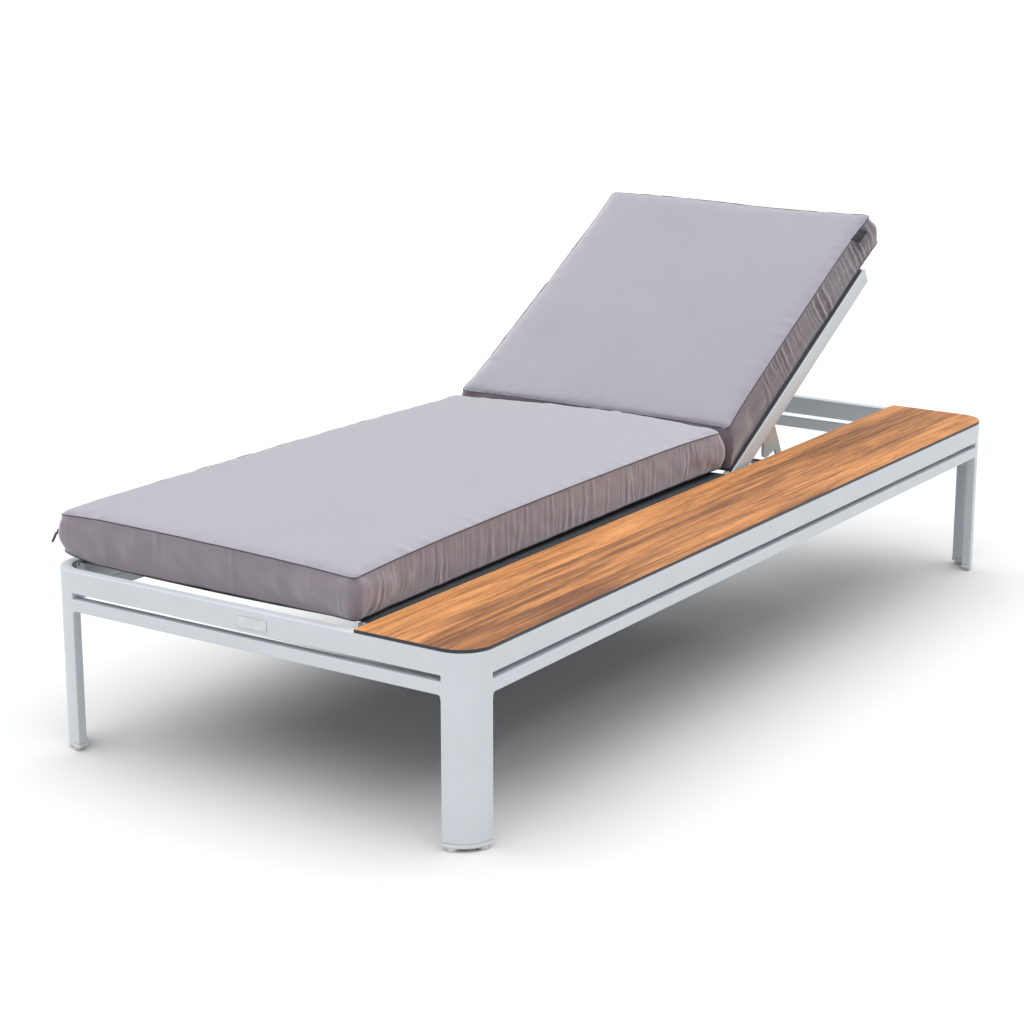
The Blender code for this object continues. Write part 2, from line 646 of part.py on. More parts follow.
def crest_height(y):
    """The height of the racks' tooth crests at y, just under everything that the rod sweeps."""
    low = TURN_FLAT
    high = TURN_TOP
    reach = ROD_RADIUS + RACK_CREST_GAP
    for _ in range(40):
        middle = (low + high) / 2
        if below_rod(middle, reach)[0] > y:
            low = middle
        else:
            high = middle
    return below_rod(low, reach)[1]


def notch_outline(turn):
    """A notch from its steep head side to its ramped foot side, the way that the rod climbs out."""
    centre = below_rod(turn, RACK_NOTCH)
    radius = ROD_RADIUS + FIT_GAP
    head_y = centre[0] + radius
    wall_foot = crest_height(head_y) - centre[1]
    seat = arc(centre, radius, min(0, math.asin(wall_foot / radius)), -math.pi / 2 - RACK_RAMP, 8)
    start_y, start_z = seat[-1]
    ramp_y = start_y
    for _ in range(8):
        ramp_y = start_y - (crest_height(ramp_y) - start_z) / math.tan(RACK_RAMP)
    return seat + [(ramp_y, crest_height(ramp_y))]


def rack_outline():
    """The rack in the (y, z) plane: a notched strip under the rod's path, with an ear at each end."""
    ear_top = FRAME_TOP - RACK_EAR_FROM_TOP
    head_in = rod_place(TURN_FLAT)[0] + ROD_RADIUS + RACK_EAR_GAP
    foot_in = rod_place(TURN_TOP)[0] - ROD_RADIUS - RACK_EAR_GAP
    top = [(head_in, ear_top), (head_in, crest_height(head_in))]
    for turn in NOTCH_TURNS:
        top += notch_outline(turn)
    top = [point for point in top if point[0] > foot_in]
    top += [(foot_in, top[-1][1]), (foot_in, ear_top)]
    steps = 8
    spans = [foot_in + (head_in - foot_in) * step / steps for step in range(steps + 1)]
    under = [(y, crest_height(y) - RACK_STRIP) for y in spans]
    under = [(foot_in - RACK_EAR, under[0][1])] + under + [(head_in + RACK_EAR, under[-1][1])]
    ears_out = [(head_in + RACK_EAR, ear_top)]
    return under + ears_out + top + [(foot_in - RACK_EAR, ear_top)]


def build_racks():
    """A notched plate on the deck's side of the inner rail, and one on the left frame rail."""
    for side, sign in SIDES.items():
        rack = prism("rack_" + side, [rack_outline()], RACK_THICKNESS)
        x = DECK_CENTRE + sign * (DECK_HALF - FIT_GAP - RACK_THICKNESS / 2)
        place(rack, PARTS, (x, 0, 0), ALONG_X, None, STEEL)


def swell(share):
    """1 over the middle of an edge, falling to 0 at both of its ends."""
    return 1 - (2 * share - 1) ** 4


def build_cushion(name, ends, bottom, thickness, leans, parent, finish):
    """A box cushion from a coarse cage: crowned on top, flat underneath, its sides drawn in between
    the corners and swelling between the seams. Its two ends lean by the lengths in leans."""
    half_width = (SHELF_INNER + HALF_WIDTH - CUSHION_SIDE_GAP) / 2
    centre = (SHELF_INNER - CUSHION_SIDE_GAP - HALF_WIDTH) / 2 - DECK_CENTRE
    length = ends[1] - ends[0]
    across_shares = (0.02, 0.2, 0.5, 0.8, 0.98)
    along_shares = (0.012, 0.12, 0.3, 0.5, 0.7, 0.88, 0.988)
    height_shares = (0.14, 0.5, 0.86)
    work = bmesh.new()
    bmesh.ops.create_cube(work, size=1)
    for axis, shares in enumerate((across_shares, along_shares, height_shares)):
        for share in shares:
            point = [0, 0, 0]
            normal = [0, 0, 0]
            point[axis] = share - 0.5
            normal[axis] = 1
            everything = work.verts[:] + work.edges[:] + work.faces[:]
            bmesh.ops.bisect_plane(work, geom=everything, plane_co=point, plane_no=normal)
    for vert in work.verts:
        across, along, height = (value + 0.5 for value in vert.co)
        draw = CUSHION_DRAW_IN - CUSHION_SIDE_SWELL * swell(height)
        x = (2 * across - 1) * (half_width - draw * swell(along))
        start = ends[0] + leans[0] * height + draw * swell(across)
        end = ends[1] - leans[1] * height - draw * swell(across)
        crown = CUSHION_CROWN * height * swell(across) * swell(along)
        vert.co = (centre + x, start + (end - start) * along, bottom + thickness * height + crown)
    mesh = bpy.data.meshes.new(name)
    work.to_mesh(mesh)
    work.free()
    made = bpy.data.objects.new(name, mesh)
    place(made, PARTS, (0, 0, 0), UPRIGHT, parent, finish)
    mesh.shade_smooth()
    soft = made.modifiers.new("soft", "SUBSURF")
    soft.levels = 1
    soft.render_levels = 1


def build_cushions(deck, back):
    bottom = SLING_TOP + FIT_GAP
    seat_ends = (SEAT_CUSHION_FOOT - HALF_LENGTH - HINGE_Y, -SEAT_CUSHION_TO_HINGE)
    build_cushion("seat_cushion", seat_ends, bottom, SEAT_CUSHION_THICKNESS,
                  (0, SEAT_CUSHION_REAR_LEAN), deck, CUSHION_CLOTH)
    back_ends = (BACK_CUSHION_FROM_HINGE, BACK_LENGTH + BACK_CUSHION_OVER_END)
    build_cushion("back_cushion", back_ends, bottom, BACK_CUSHION_THICKNESS,
                  (BACK_CUSHION_LOWER_LEAN, 0), back, CUSHION_CLOTH)


clear_scene()
PARTS = new_collection("sun_lounger")
CUTTERS = new_collection("cutters")

PAINT = material("frame_paint", (0.62, 0.66, 0.70), 0.45, 0.1)
STEEL = material("stay_steel", (0.50, 0.51, 0.52), 0.35, 0.9)
LAMINATE = material("shelf_laminate", (0.52, 0.25, 0.11), 0.5)
CUSHION_CLOTH = material("cushion_cloth", (0.46, 0.42, 0.48), 0.9)
SLING_CLOTH = material("sling_cloth", (0.05, 0.05, 0.06), 0.8)
CAP_PLASTIC = material("cap_plastic", (0.55, 0.57, 0.60), 0.5)
GLIDE_PLASTIC = material("glide_plastic", (0.80, 0.80, 0.78), 0.4)
BUSH_PLASTIC = material("bush_plastic", (0.85, 0.85, 0.83), 0.4)

HINGE = (DECK_CENTRE, HINGE_Y, HINGE_Z)
seat_axis = axis_empty("seat_deck_frame", HINGE)
back_axis = axis_empty("backrest_hinge_axis", HINGE, BACK_ANGLE)
stay_axis = axis_empty("stay_pivot_axis", (0, STAY_REACH, 0), STAY_LEAN - BACK_ANGLE, back_axis)

build_legs()
build_frame_rails()
build_shelf()
build_seat_deck(seat_axis)
build_hinges(seat_axis)
build_racks()
build_backrest(back_axis)
build_stay_bolts(back_axis)
build_stay(stay_axis)
build_cushions(seat_axis, back_axis)
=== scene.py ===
"""Finish of a sun lounger with a side shelf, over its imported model.

Metres, +Y from the foot end to the head end, +X towards the shelf, z = 0 on the floor."""

import json
import math

import bmesh
import bpy
import numpy as np
from bpy.props import FloatProperty, FloatVectorProperty, IntProperty, PointerProperty
from bpy.types import Operator, Panel, PropertyGroup
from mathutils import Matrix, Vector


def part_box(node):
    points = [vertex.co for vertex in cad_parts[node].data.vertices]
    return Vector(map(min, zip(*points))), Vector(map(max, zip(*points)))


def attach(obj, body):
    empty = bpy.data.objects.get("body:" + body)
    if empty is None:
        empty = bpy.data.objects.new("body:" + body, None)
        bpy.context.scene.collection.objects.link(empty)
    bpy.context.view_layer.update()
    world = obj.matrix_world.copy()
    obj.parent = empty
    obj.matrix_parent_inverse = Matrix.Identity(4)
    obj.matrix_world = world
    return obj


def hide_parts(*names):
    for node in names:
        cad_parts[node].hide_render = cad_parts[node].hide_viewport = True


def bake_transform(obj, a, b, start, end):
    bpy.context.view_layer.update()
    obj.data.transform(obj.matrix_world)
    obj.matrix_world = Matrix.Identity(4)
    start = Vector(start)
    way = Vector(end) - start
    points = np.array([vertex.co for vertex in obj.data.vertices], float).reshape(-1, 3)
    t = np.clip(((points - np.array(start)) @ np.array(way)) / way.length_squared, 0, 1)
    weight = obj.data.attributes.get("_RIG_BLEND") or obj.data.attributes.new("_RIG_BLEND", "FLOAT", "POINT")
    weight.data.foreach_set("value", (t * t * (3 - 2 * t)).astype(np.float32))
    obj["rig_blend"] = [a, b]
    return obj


bl_info = {
    "name": "Sun lounger finish",
    "version": (1, 0, 0),
    "blender": (4, 5, 0),
    "location": "3D View > Sidebar > Lounger",
    "description": "Welded frame, laminate shelf, slings and box cushions of a sun lounger",
    "category": "Object",
}

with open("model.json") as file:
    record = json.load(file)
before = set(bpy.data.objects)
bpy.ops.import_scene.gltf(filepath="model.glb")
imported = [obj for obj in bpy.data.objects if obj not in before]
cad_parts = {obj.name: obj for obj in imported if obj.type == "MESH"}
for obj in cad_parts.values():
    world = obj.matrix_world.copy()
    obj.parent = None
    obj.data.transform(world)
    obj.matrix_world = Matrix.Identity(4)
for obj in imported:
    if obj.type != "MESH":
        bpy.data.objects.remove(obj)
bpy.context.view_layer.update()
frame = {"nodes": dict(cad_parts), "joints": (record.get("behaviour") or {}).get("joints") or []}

BASE = "base"
BACKREST = "backrest"

LEG_LOW, LEG_HIGH = (np.array(corner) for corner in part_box("leg_foot_right"))
UPPER_LOW, UPPER_HIGH = (np.array(corner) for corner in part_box("upper_rail_right"))
LOWER_LOW, LOWER_HIGH = (np.array(corner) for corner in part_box("lower_rail_right"))
BOARD_LOW, BOARD_HIGH = (np.array(corner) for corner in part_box("shelf_board"))
RAIL_LOW, RAIL_HIGH = (np.array(corner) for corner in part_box("seat_rail_right"))
LEFT_RAIL_LOW, LEFT_RAIL_HIGH = (np.array(corner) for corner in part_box("seat_rail_left"))
SEAT_LOW, SEAT_HIGH = (np.array(corner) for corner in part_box("seat_cushion"))

HALF_WIDTH = float(UPPER_HIGH[0])
HALF_LENGTH = -float(LEG_LOW[1])
CORNER = float(LEG_HIGH[0] - LEG_LOW[0])
TUBE = float(UPPER_HIGH[0] - UPPER_LOW[0])
FRAME_TOP = float(UPPER_HIGH[2])
DECK_DEPTH = float(RAIL_HIGH[2] - RAIL_LOW[2])
DECK_RAIL = float(RAIL_HIGH[0] - RAIL_LOW[0])
DECK_CENTRE = float(RAIL_HIGH[0] + LEFT_RAIL_LOW[0]) / 2
DECK_OFFSET = float(RAIL_HIGH[0]) - DECK_RAIL / 2 - DECK_CENTRE
SLING_BEAD = 0.0021
SLING_THICKNESS = 0.0012
SLING_GAP = 0.0003
CUSHION_REST = 0.0022
WELD_DISTANCE = 0.00001
CUT_MAP = "cut"
NEAR = 1e-4
SLING_SLOT = float(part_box("seat_sling")[1][0]) - SLING_BEAD - DECK_CENTRE

JOINTS = {joint["name"]: joint for joint in frame["joints"]}
HINGE = np.array(JOINTS["backrest_hinge"]["pos_m"], float)
BACK_ANGLE = -math.radians(JOINTS["backrest_hinge"]["range_deg"][0])


def size(name, description, default):
    """A length that a user may change."""
    return FloatProperty(name=name, description=description, default=default, unit="LENGTH", min=0)


def colour(name, description, default):
    """A colour that a user may change, as linear red, green and blue."""
    return FloatVectorProperty(name=name, description=description, default=default,
                               subtype="COLOR", size=3, min=0, max=1)


def share(name, description, default):
    """A plain factor that a user may change."""
    return FloatProperty(name=name, description=description, default=default, subtype="FACTOR",
                         min=0, max=10)


class LoungerMetal(PropertyGroup):
    """Sizes and colours of the metal and plastic parts."""

    fillet: size("Weld fillet", "Radius where a leg meets the rail above it", 0.006)
    edge: size("Edge radius", "Radius of the tubes' long edges", 0.0016)
    paint: colour("Paint", "Powder coat of the frame", (0.585, 0.618, 0.648))
    stay_paint: colour("Stay paint", "Coat of the stay's plates", (0.60, 0.585, 0.55))
    steel: colour("Steel", "Bolts, rod and racks", (0.46, 0.47, 0.48))
    cap: colour("Leg caps", "Plastic of the leg caps", (0.65, 0.67, 0.69))
    glide: colour("Glides", "Plastic of the round feet", (0.62, 0.62, 0.59))
    badge: colour("Badge", "Bare metal of the blank badge", (0.66, 0.67, 0.68))


class LoungerShelf(PropertyGroup):
    """Sizes and colours of the shelf board."""

    round_over: size("Edge radius", "Radius of the board's upper and lower edges", 0.0012)
    inner_corner: size("Inner corner", "Plan radius of the corners beside the deck", 0.0015)
    staves: IntProperty(name="Staves", description="Number of staves side by side", default=3, min=1)
    light: colour("Light wood", "Lightest tone of the grain", (0.66, 0.305, 0.110))
    middle: colour("Middle wood", "Main tone of the grain", (0.445, 0.186, 0.062))
    dark: colour("Dark wood", "Darkest tone of the grain", (0.165, 0.062, 0.026))
    core: colour("Core", "Dark core that shows at the board's edge", (0.030, 0.036, 0.046))


class LoungerCloth(PropertyGroup):
    """Sizes and colours of the cushions and slings."""

    cloth: colour("Cushion cloth", "Main tone of the cushion cloth", (0.262, 0.243, 0.294))
    # The bands are darker copies of the cushion cloth: painted shade on the cushions' sides, darkest on the
    # back cushion.
    seat_band_painted_shade: colour("Seat band", "Cloth of the seat cushion's band, darkened as painted shade on the sides",
                      (0.192, 0.158, 0.192))
    back_band_painted_shade: colour("Back band", "Cloth of the back cushion's band, darkened as painted shade on the sides",
                      (0.122, 0.098, 0.120))
    # The thread stands for the real seams. It is kept dark so that its tube along each seam paints the shade
    # line there.
    thread: colour("Seam thread", "Thread in the cushions' seams", (0.045, 0.040, 0.052))
    sling: colour("Sling", "Woven sling under the cushions", (0.050, 0.057, 0.068))
    tag: colour("Tag", "Blank tag in the seam_painted_shade_line", (0.026, 0.027, 0.035))
    yarn: size("Yarn pitch", "Distance between two yarns of the cushion cloth", 0.0007)
    sling_yarn: size("Sling pitch", "Distance between two yarns of the sling", 0.0022)
    pucker: size("Pucker height", "Height of the tallest pucker beside a seam_painted_shade_line", 0.0048)
    crown: size("Crown", "How far the top panel stands over its seam_painted_shade_line", 0.008)
    sag: size("Sling sag", "How far the slings sag between their rails", 0.004)
    seed: IntProperty(name="Seed", description="Number that sets where the puckers fall", default=7)


class LoungerStudio(PropertyGroup):
    """Floor, light and camera."""

    floor: colour("Floor", "Plain pale floor", (0.68, 0.68, 0.68))
    sky: share("Surrounding light", "Strength of the even light from all round", 0.45)
    overhead: share("Overhead light", "Strength of the broad light overhead", 3.8)
    camera: FloatVectorProperty(name="Camera", description="Where the camera stands", size=3,
                                default=(2.472, -3.8788, 1.5138), subtype="TRANSLATION")
    turn: FloatProperty(name="Camera turn", description="Turn about the vertical",
                        default=math.radians(33.991), subtype="ANGLE")
    pitch: FloatProperty(name="Camera pitch", description="How far the camera looks down",
                         default=math.radians(15.036), subtype="ANGLE")
    lens: FloatProperty(name="Lens", description="Focal length on a 36 mm wide sensor, in mm",
                        default=84.045, min=10)


class LoungerLook(PropertyGroup):
    """Everything a user may change."""

    metal: PointerProperty(type=LoungerMetal)
    shelf: PointerProperty(type=LoungerShelf)
    cloth: PointerProperty(type=LoungerCloth)
    studio: PointerProperty(type=LoungerStudio)


class Finish:
    """A material's nodes: each call adds one and gives back its output."""

    def __init__(self, name, tone, roughness, metallic=0.0, specular=0.5):
        self.material = bpy.data.materials.new(name)
        self.material.use_nodes = True
        self.tree = self.material.node_tree
        self.shader = self.tree.nodes["Principled BSDF"]
        self.set("Base Color", (*tone, 1))
        self.set("Roughness", roughness)
        self.set("Metallic", metallic)
        self.set("Specular IOR Level", specular)

    def set(self, socket, value):
        """Feeds one of the shader's own sockets."""
        self.feed(value, self.shader.inputs[socket])

    def feed(self, value, socket):
        """Links a node's output to a socket, or sets the socket to a plain value."""
        if isinstance(value, bpy.types.NodeSocket):
            self.tree.links.new(value, socket)
        else:
            socket.default_value = value

    def node(self, kind, **settings):
        """A new node with its settings."""
        made = self.tree.nodes.new(kind)
        for name, value in settings.items():
            setattr(made, name, value)
        return made

    def place(self, scale=(1, 1, 1), uv=None):
        """Object coordinates, or a UV map's, scaled."""
        if uv:
            source = self.node("ShaderNodeUVMap", uv_map=uv).outputs["UV"]
        else:
            source = self.node("ShaderNodeTexCoord").outputs["Object"]
        mapping = self.node("ShaderNodeMapping")
        self.feed(source, mapping.inputs["Vector"])
        mapping.inputs["Scale"].default_value = scale
        return mapping.outputs["Vector"]

    def noise(self, place, scale=1.0, detail=2.0, roughness=0.5, distortion=0.0):
        """Smooth noise between 0 and 1."""
        made = self.node("ShaderNodeTexNoise")
        self.feed(place, made.inputs["Vector"])
        made.inputs["Scale"].default_value = scale
        made.inputs["Detail"].default_value = detail
        made.inputs["Roughness"].default_value = roughness
        made.inputs["Distortion"].default_value = distortion
        return made.outputs["Fac"]

    def maths(self, operation, first, second=0.0, third=0.0):
        """One sum on up to three values."""
        made = self.node("ShaderNodeMath", operation=operation)
        for value, socket in zip((first, second, third), made.inputs):
            self.feed(value, socket)
        return made.outputs["Value"]

    def remap(self, value, low, high, to_low=0.0, to_high=1.0, smooth=False):
        """A value's range carried to another range, straight or with smooth ends."""
        made = self.node("ShaderNodeMapRange", interpolation_type="SMOOTHSTEP" if smooth else "LINEAR")
        for number, name in zip((value, low, high, to_low, to_high),
                                ("Value", "From Min", "From Max", "To Min", "To Max")):
            self.feed(number, made.inputs[name])
        return made.outputs["Result"]

    def ramp(self, factor, stops):
        """Colours between stops, each a place from 0 to 1 and its tone."""
        made = self.node("ShaderNodeValToRGB")
        elements = made.color_ramp.elements
        while len(elements) < len(stops):
            elements.new(0.5)
        for element, (position, tone) in zip(elements, stops):
            element.position = position
            element.color = (*tone, 1)
        self.feed(factor, made.inputs["Fac"])
        return made.outputs["Color"]

    def mix(self, factor, first, second):
        """Two tones mixed by a factor."""
        made = self.node("ShaderNodeMix", data_type="RGBA")
        self.feed(factor, made.inputs["Factor"])
        for value, socket in ((first, made.inputs[6]), (second, made.inputs[7])):
            self.feed(value if isinstance(value, bpy.types.NodeSocket) else (*value, 1), socket)
        return made.outputs[2]

    def axes(self, vector):
        """The three parts of a vector."""
        made = self.node("ShaderNodeSeparateXYZ")
        self.feed(vector, made.inputs[0])
        return made.outputs

    def bump(self, height, distance, strength=1.0):
        """Fine relief, whose full height is distance in metres."""
        made = self.node("ShaderNodeBump")
        self.feed(height, made.inputs["Height"])
        made.inputs["Distance"].default_value = distance
        made.inputs["Strength"].default_value = strength
        self.set("Normal", made.outputs["Normal"])


def shade(tone, factor):
    """A tone made lighter or darker by a factor."""
    return tuple(min(1.0, channel * factor) for channel in tone)


def coat(name, tone, roughness=0.42, peel=0.00005, grain=900):
    """Powder coat: faint cloudy tone, fine orange peel and uneven gloss."""
    made = Finish(name, tone, roughness)
    place = made.place()
    clouds = made.noise(place, scale=9, detail=3)
    made.set("Base Color", made.ramp(clouds, [(0.3, shade(tone, 0.975)), (0.7, shade(tone, 1.015))]))
    fine = made.noise(place, scale=grain, roughness=0.6)
    gloss = made.noise(place, scale=60)
    made.set("Roughness", made.remap(gloss, 0.2, 0.8, roughness - 0.05, roughness + 0.06))
    made.bump(fine, peel, strength=0.5)
    return made.material


def plastic(name, tone, roughness=0.5):
    """Moulded plastic with a fine eroded grain."""
    made = Finish(name, tone, roughness)
    place = made.place()
    clouds = made.noise(place, scale=40)
    made.set("Base Color", made.ramp(clouds, [(0.3, shade(tone, 0.94)), (0.7, tone)]))
    made.bump(made.noise(place, scale=1600, roughness=0.6), distance=0.00004, strength=0.6)
    return made.material


def brushed(name, tone, along, roughness=0.34):
    """Metal with fine drawn lines: noise stretched along one axis."""
    made = Finish(name, tone, roughness, metallic=0.9)
    lines = made.noise(made.place(along), detail=3, roughness=0.6)
    spots = made.noise(made.place(), scale=45, detail=3)
    made.set("Roughness", made.remap(lines, 0.25, 0.75, roughness - 0.07, roughness + 0.1))
    made.set("Base Color", made.ramp(spots, [(0.3, shade(tone, 0.86)), (0.7, tone)]))
    made.bump(lines, distance=0.00003, strength=0.5)
    return made.material


def woven(name, tone, pitch, contrast=0.04, depth=0.00009, sheen=1.0):
    """Plain weave on the cut cloth's UV map in metres: its height is sin(2 pi u / pitch) times
    sin(2 pi v / pitch), plus noise stretched along each way for uneven yarns."""
    made = Finish(name, tone, 0.88, specular=0.25)
    u, v, _ = made.axes(made.place(uv=CUT_MAP))
    turn = 2 * math.pi / pitch
    across = made.maths("SINE", made.maths("MULTIPLY", u, turn))
    along = made.maths("SINE", made.maths("MULTIPLY", v, turn))
    weave = made.maths("MULTIPLY", across, along)
    weft = made.noise(made.place((14, 420, 1), uv=CUT_MAP), roughness=0.6)
    warp = made.noise(made.place((380, 16, 1), uv=CUT_MAP), roughness=0.6)
    cloud = made.noise(made.place((5, 5, 1), uv=CUT_MAP), detail=3)
    yarn = made.maths("ADD", made.maths("MULTIPLY", weft, 0.55), made.maths("MULTIPLY", warp, 0.45))
    tone_share = made.maths("ADD", made.maths("MULTIPLY", yarn, 0.8), made.maths("MULTIPLY", cloud, 0.2))
    ramp = [(0.32, shade(tone, 1 - 2 * contrast)), (0.5, tone), (0.68, shade(tone, 1 + 1.6 * contrast))]
    made.set("Base Color", made.ramp(tone_share, ramp))
    height = made.maths("ADD", weave, made.maths("MULTIPLY", yarn, 1.6))
    made.bump(height, depth, strength=0.55)
    made.set("Sheen Weight", sheen)
    made.set("Sheen Roughness", 0.5)
    return made.material


def teak(look):
    """Teak decor in staves side by side: each stave has its own tone and its own stretch of the same
    noises, which give bands, streaks, fibres and dark pores along Y."""
    made = Finish("teak_decor", look.middle, 0.5, specular=0.3)
    width = float(BOARD_HIGH[0] - BOARD_LOW[0]) / look.staves
    x, y, z = made.axes(made.place())
    from_edge = made.maths("SUBTRACT", x, float(BOARD_LOW[0]))
    stave = made.maths("FLOOR", made.maths("DIVIDE", from_edge, width))
    gather = made.node("ShaderNodeCombineXYZ")
    made.feed(made.maths("MULTIPLY_ADD", stave, 3.7, x), gather.inputs[0])
    made.feed(made.maths("MULTIPLY_ADD", stave, 1.9, y), gather.inputs[1])
    made.feed(z, gather.inputs[2])

    def grain_noise(across, along, lean, detail, roughness, distortion=0.0):
        """Noise with so many changes to the metre each way, leaning so many degrees off Y."""
        turned = made.node("ShaderNodeMapping")
        made.feed(gather.outputs[0], turned.inputs["Vector"])
        turned.inputs["Rotation"].default_value = (0, 0, math.radians(lean))
        turned.inputs["Scale"].default_value = (across, along, 1)
        return made.noise(turned.outputs["Vector"], 1.0, detail, roughness, distortion)

    bands = grain_noise(across=15, along=1.1, lean=1.5, detail=3, roughness=0.55, distortion=1.3)
    streak = grain_noise(across=120, along=2.6, lean=1.5, detail=4, roughness=0.66, distortion=0.8)
    fibre = grain_noise(across=370, along=8, lean=1.0, detail=3, roughness=0.7)
    pores = grain_noise(across=600, along=22, lean=1.8, detail=2, roughness=0.5)
    stave_wave = made.maths("SINE", made.maths("MULTIPLY_ADD", stave, 2.4, 1.0))
    mixed = made.maths("MULTIPLY", stave_wave, 0.028)
    for part, share_of_grain in ((bands, 0.42), (streak, 0.28), (fibre, 0.30)):
        mixed = made.maths("MULTIPLY_ADD", part, share_of_grain, mixed)
    grain = made.ramp(mixed, [(0.40, look.dark), (0.455, shade(look.middle, 0.66)), (0.505, look.middle),
                              (0.55, shade(look.middle, 1.3)), (0.61, look.light)])
    pore_mask = made.remap(pores, 0.58, 0.70, 0.0, 0.6, smooth=True)
    made.set("Base Color", made.mix(pore_mask, grain, shade(look.dark, 0.75)))
    relief = made.maths("SUBTRACT", made.maths("MULTIPLY", fibre, 0.5), pore_mask)
    made.set("Roughness", made.remap(fibre, 0.3, 0.7, 0.45, 0.58))
    made.bump(relief, distance=0.00008, strength=0.6)
    return made.material


def core_laminate(look):
    """The board's dark core: fine pressed layers along its edge."""
    made = Finish("laminate_core", look.core, 0.4, specular=0.35)
    layers = made.noise(made.place((3, 3, 2600)))
    stops = [(0.3, shade(look.core, 0.8)), (0.7, shade(look.core, 1.25))]
    made.set("Base Color", made.ramp(layers, stops))
    made.bump(layers, distance=0.00004, strength=0.4)
    return made.material


def grid_faces(rows, columns, wrap_rows=False, wrap_columns=False):
    """Quads between neighbouring points of a grid, which may close on itself either way."""
    row, column = np.meshgrid(np.arange(rows - (not wrap_rows)), np.arange(columns - (not wrap_columns)),
                              indexing="ij")
    next_row = (row + 1) % rows
    next_column = (column + 1) % columns
    corners = [row * columns + column, row * columns + next_column,
               next_row * columns + next_column, next_row * columns + column]
    return np.stack(corners, -1).reshape(-1, 4)


def with_ends(faces, rows, count):
    """A row-by-row grid's faces, and one face each over its first and its last row."""
    last = (rows - 1) * count
    return [*faces, range(count - 1, -1, -1), range(last, last + count)]


def add_piece(name, points, faces, finish, body=None, uv=None):
    """A smooth mesh object from arrays; it keeps only the points that its faces use, and rides on its
    body where one is given."""
    points = np.asarray(points, float).reshape(-1, 3)
    faces = [list(map(int, face)) for face in faces]
    used = sorted({corner for face in faces for corner in face})
    order = np.full(len(points), -1)
    order[used] = np.arange(len(used))
    mesh = bpy.data.meshes.new(name)
    mesh.from_pydata(points[used].tolist(), [], [[int(order[corner]) for corner in face] for face in faces])
    if uv is not None:
        layer = mesh.uv_layers.new(name=CUT_MAP)
        layer.data.foreach_set("uv", np.asarray(uv, np.float32).ravel())
    for each in finish if isinstance(finish, (list, tuple)) else [finish]:
        mesh.materials.append(each)
    mesh.shade_smooth()
    mesh.validate()
    made = bpy.data.objects.new(name, mesh)
    bpy.context.scene.collection.objects.link(made)
    if body:
        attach(made, body)
    return made


def even_shading(piece):
    """Normals weighted by face, so that flat faces stay flat."""
    even = piece.modifiers.new("even_shading", "WEIGHTED_NORMAL")
    even.keep_sharp = True


def round_edges(piece, width, segments=3, angle=math.radians(35)):
    """Bevels the edges that turn by more than an angle, and keeps the flat faces flat."""
    bevel = piece.modifiers.new("round_edges", "BEVEL")
    bevel.width = width
    bevel.segments = segments
    bevel.limit_method = "ANGLE"
    bevel.angle_limit = angle
    bevel.use_clamp_overlap = False
    even_shading(piece)


def tube_along(path, radius, sides=8, closed=False, squash=1.0):
    """A round section carried along a path: each ring is path + radius * (side * cos t + lift * sin t),
    with side level and lift square to it and to the path."""
    path = np.asarray(path, float)
    if closed:
        ahead = np.roll(path, -1, 0) - np.roll(path, 1, 0)
    else:
        ahead = np.gradient(path, axis=0)
    ahead /= np.linalg.norm(ahead, axis=1)[:, None]
    up = np.array([0.0, 0.0, 1.0])
    side = np.cross(ahead, up)
    flat = np.linalg.norm(side, axis=1) < 1e-3
    side[flat] = np.cross(ahead[flat], [1.0, 0.0, 0.0])
    side /= np.linalg.norm(side, axis=1)[:, None]
    lift = np.cross(side, ahead)
    turn = 2 * math.pi * np.arange(sides) / sides
    ring = (side[:, None] * np.cos(turn)[None, :, None]
            + lift[:, None] * np.sin(turn)[None, :, None] * squash)
    points = path[:, None] + radius * ring
    faces = grid_faces(len(path), sides, closed, True)
    return points, faces if closed else with_ends(faces, len(path), sides)


def turn_outward(piece):
    """Recalculates a closed mesh's faces so that they point outwards."""
    work = bmesh.new()
    work.from_mesh(piece.data)
    bmesh.ops.recalc_face_normals(work, faces=work.faces)
    work.to_mesh(piece.data)
    work.free()


def tidy_shading():
    """Nodes that weld a kept mesh's loose triangles and keep only its real edges sharp."""
    group = bpy.data.node_groups.new("tidy_shading", "GeometryNodeTree")
    group.interface.new_socket("Geometry", in_out="INPUT", socket_type="NodeSocketGeometry")
    group.interface.new_socket("Geometry", in_out="OUTPUT", socket_type="NodeSocketGeometry")
    start = group.nodes.new("NodeGroupInput")
    end = group.nodes.new("NodeGroupOutput")
    weld = group.nodes.new("GeometryNodeMergeByDistance")
    weld.inputs["Distance"].default_value = WELD_DISTANCE
    angle = group.nodes.new("GeometryNodeInputMeshEdgeAngle")
    limit = group.nodes.new("FunctionNodeCompare")
    limit.operation = "LESS_EQUAL"
    limit.inputs["B"].default_value = math.radians(34)
    faces = group.nodes.new("GeometryNodeSetShadeSmooth")
    edges = group.nodes.new("GeometryNodeSetShadeSmooth")
    edges.domain = "EDGE"
    links = group.links
    links.new(start.outputs[0], weld.inputs["Geometry"])
    links.new(weld.outputs[0], faces.inputs["Geometry"])
    links.new(faces.outputs[0], edges.inputs["Geometry"])
    links.new(angle.outputs["Unsigned Angle"], limit.inputs["A"])
    links.new(limit.outputs["Result"], edges.inputs["Shade Smooth"])
    links.new(edges.outputs[0], end.inputs[0])
    return group


def keep_nodes(names, finish, group):
    """Gives kept pieces their finish and clean shading."""
    for name in names:
        piece = frame["nodes"][name]
        piece.data.materials.clear()
        piece.data.materials.append(finish)
        piece.modifiers.new("tidy_shading", "NODES").node_group = group


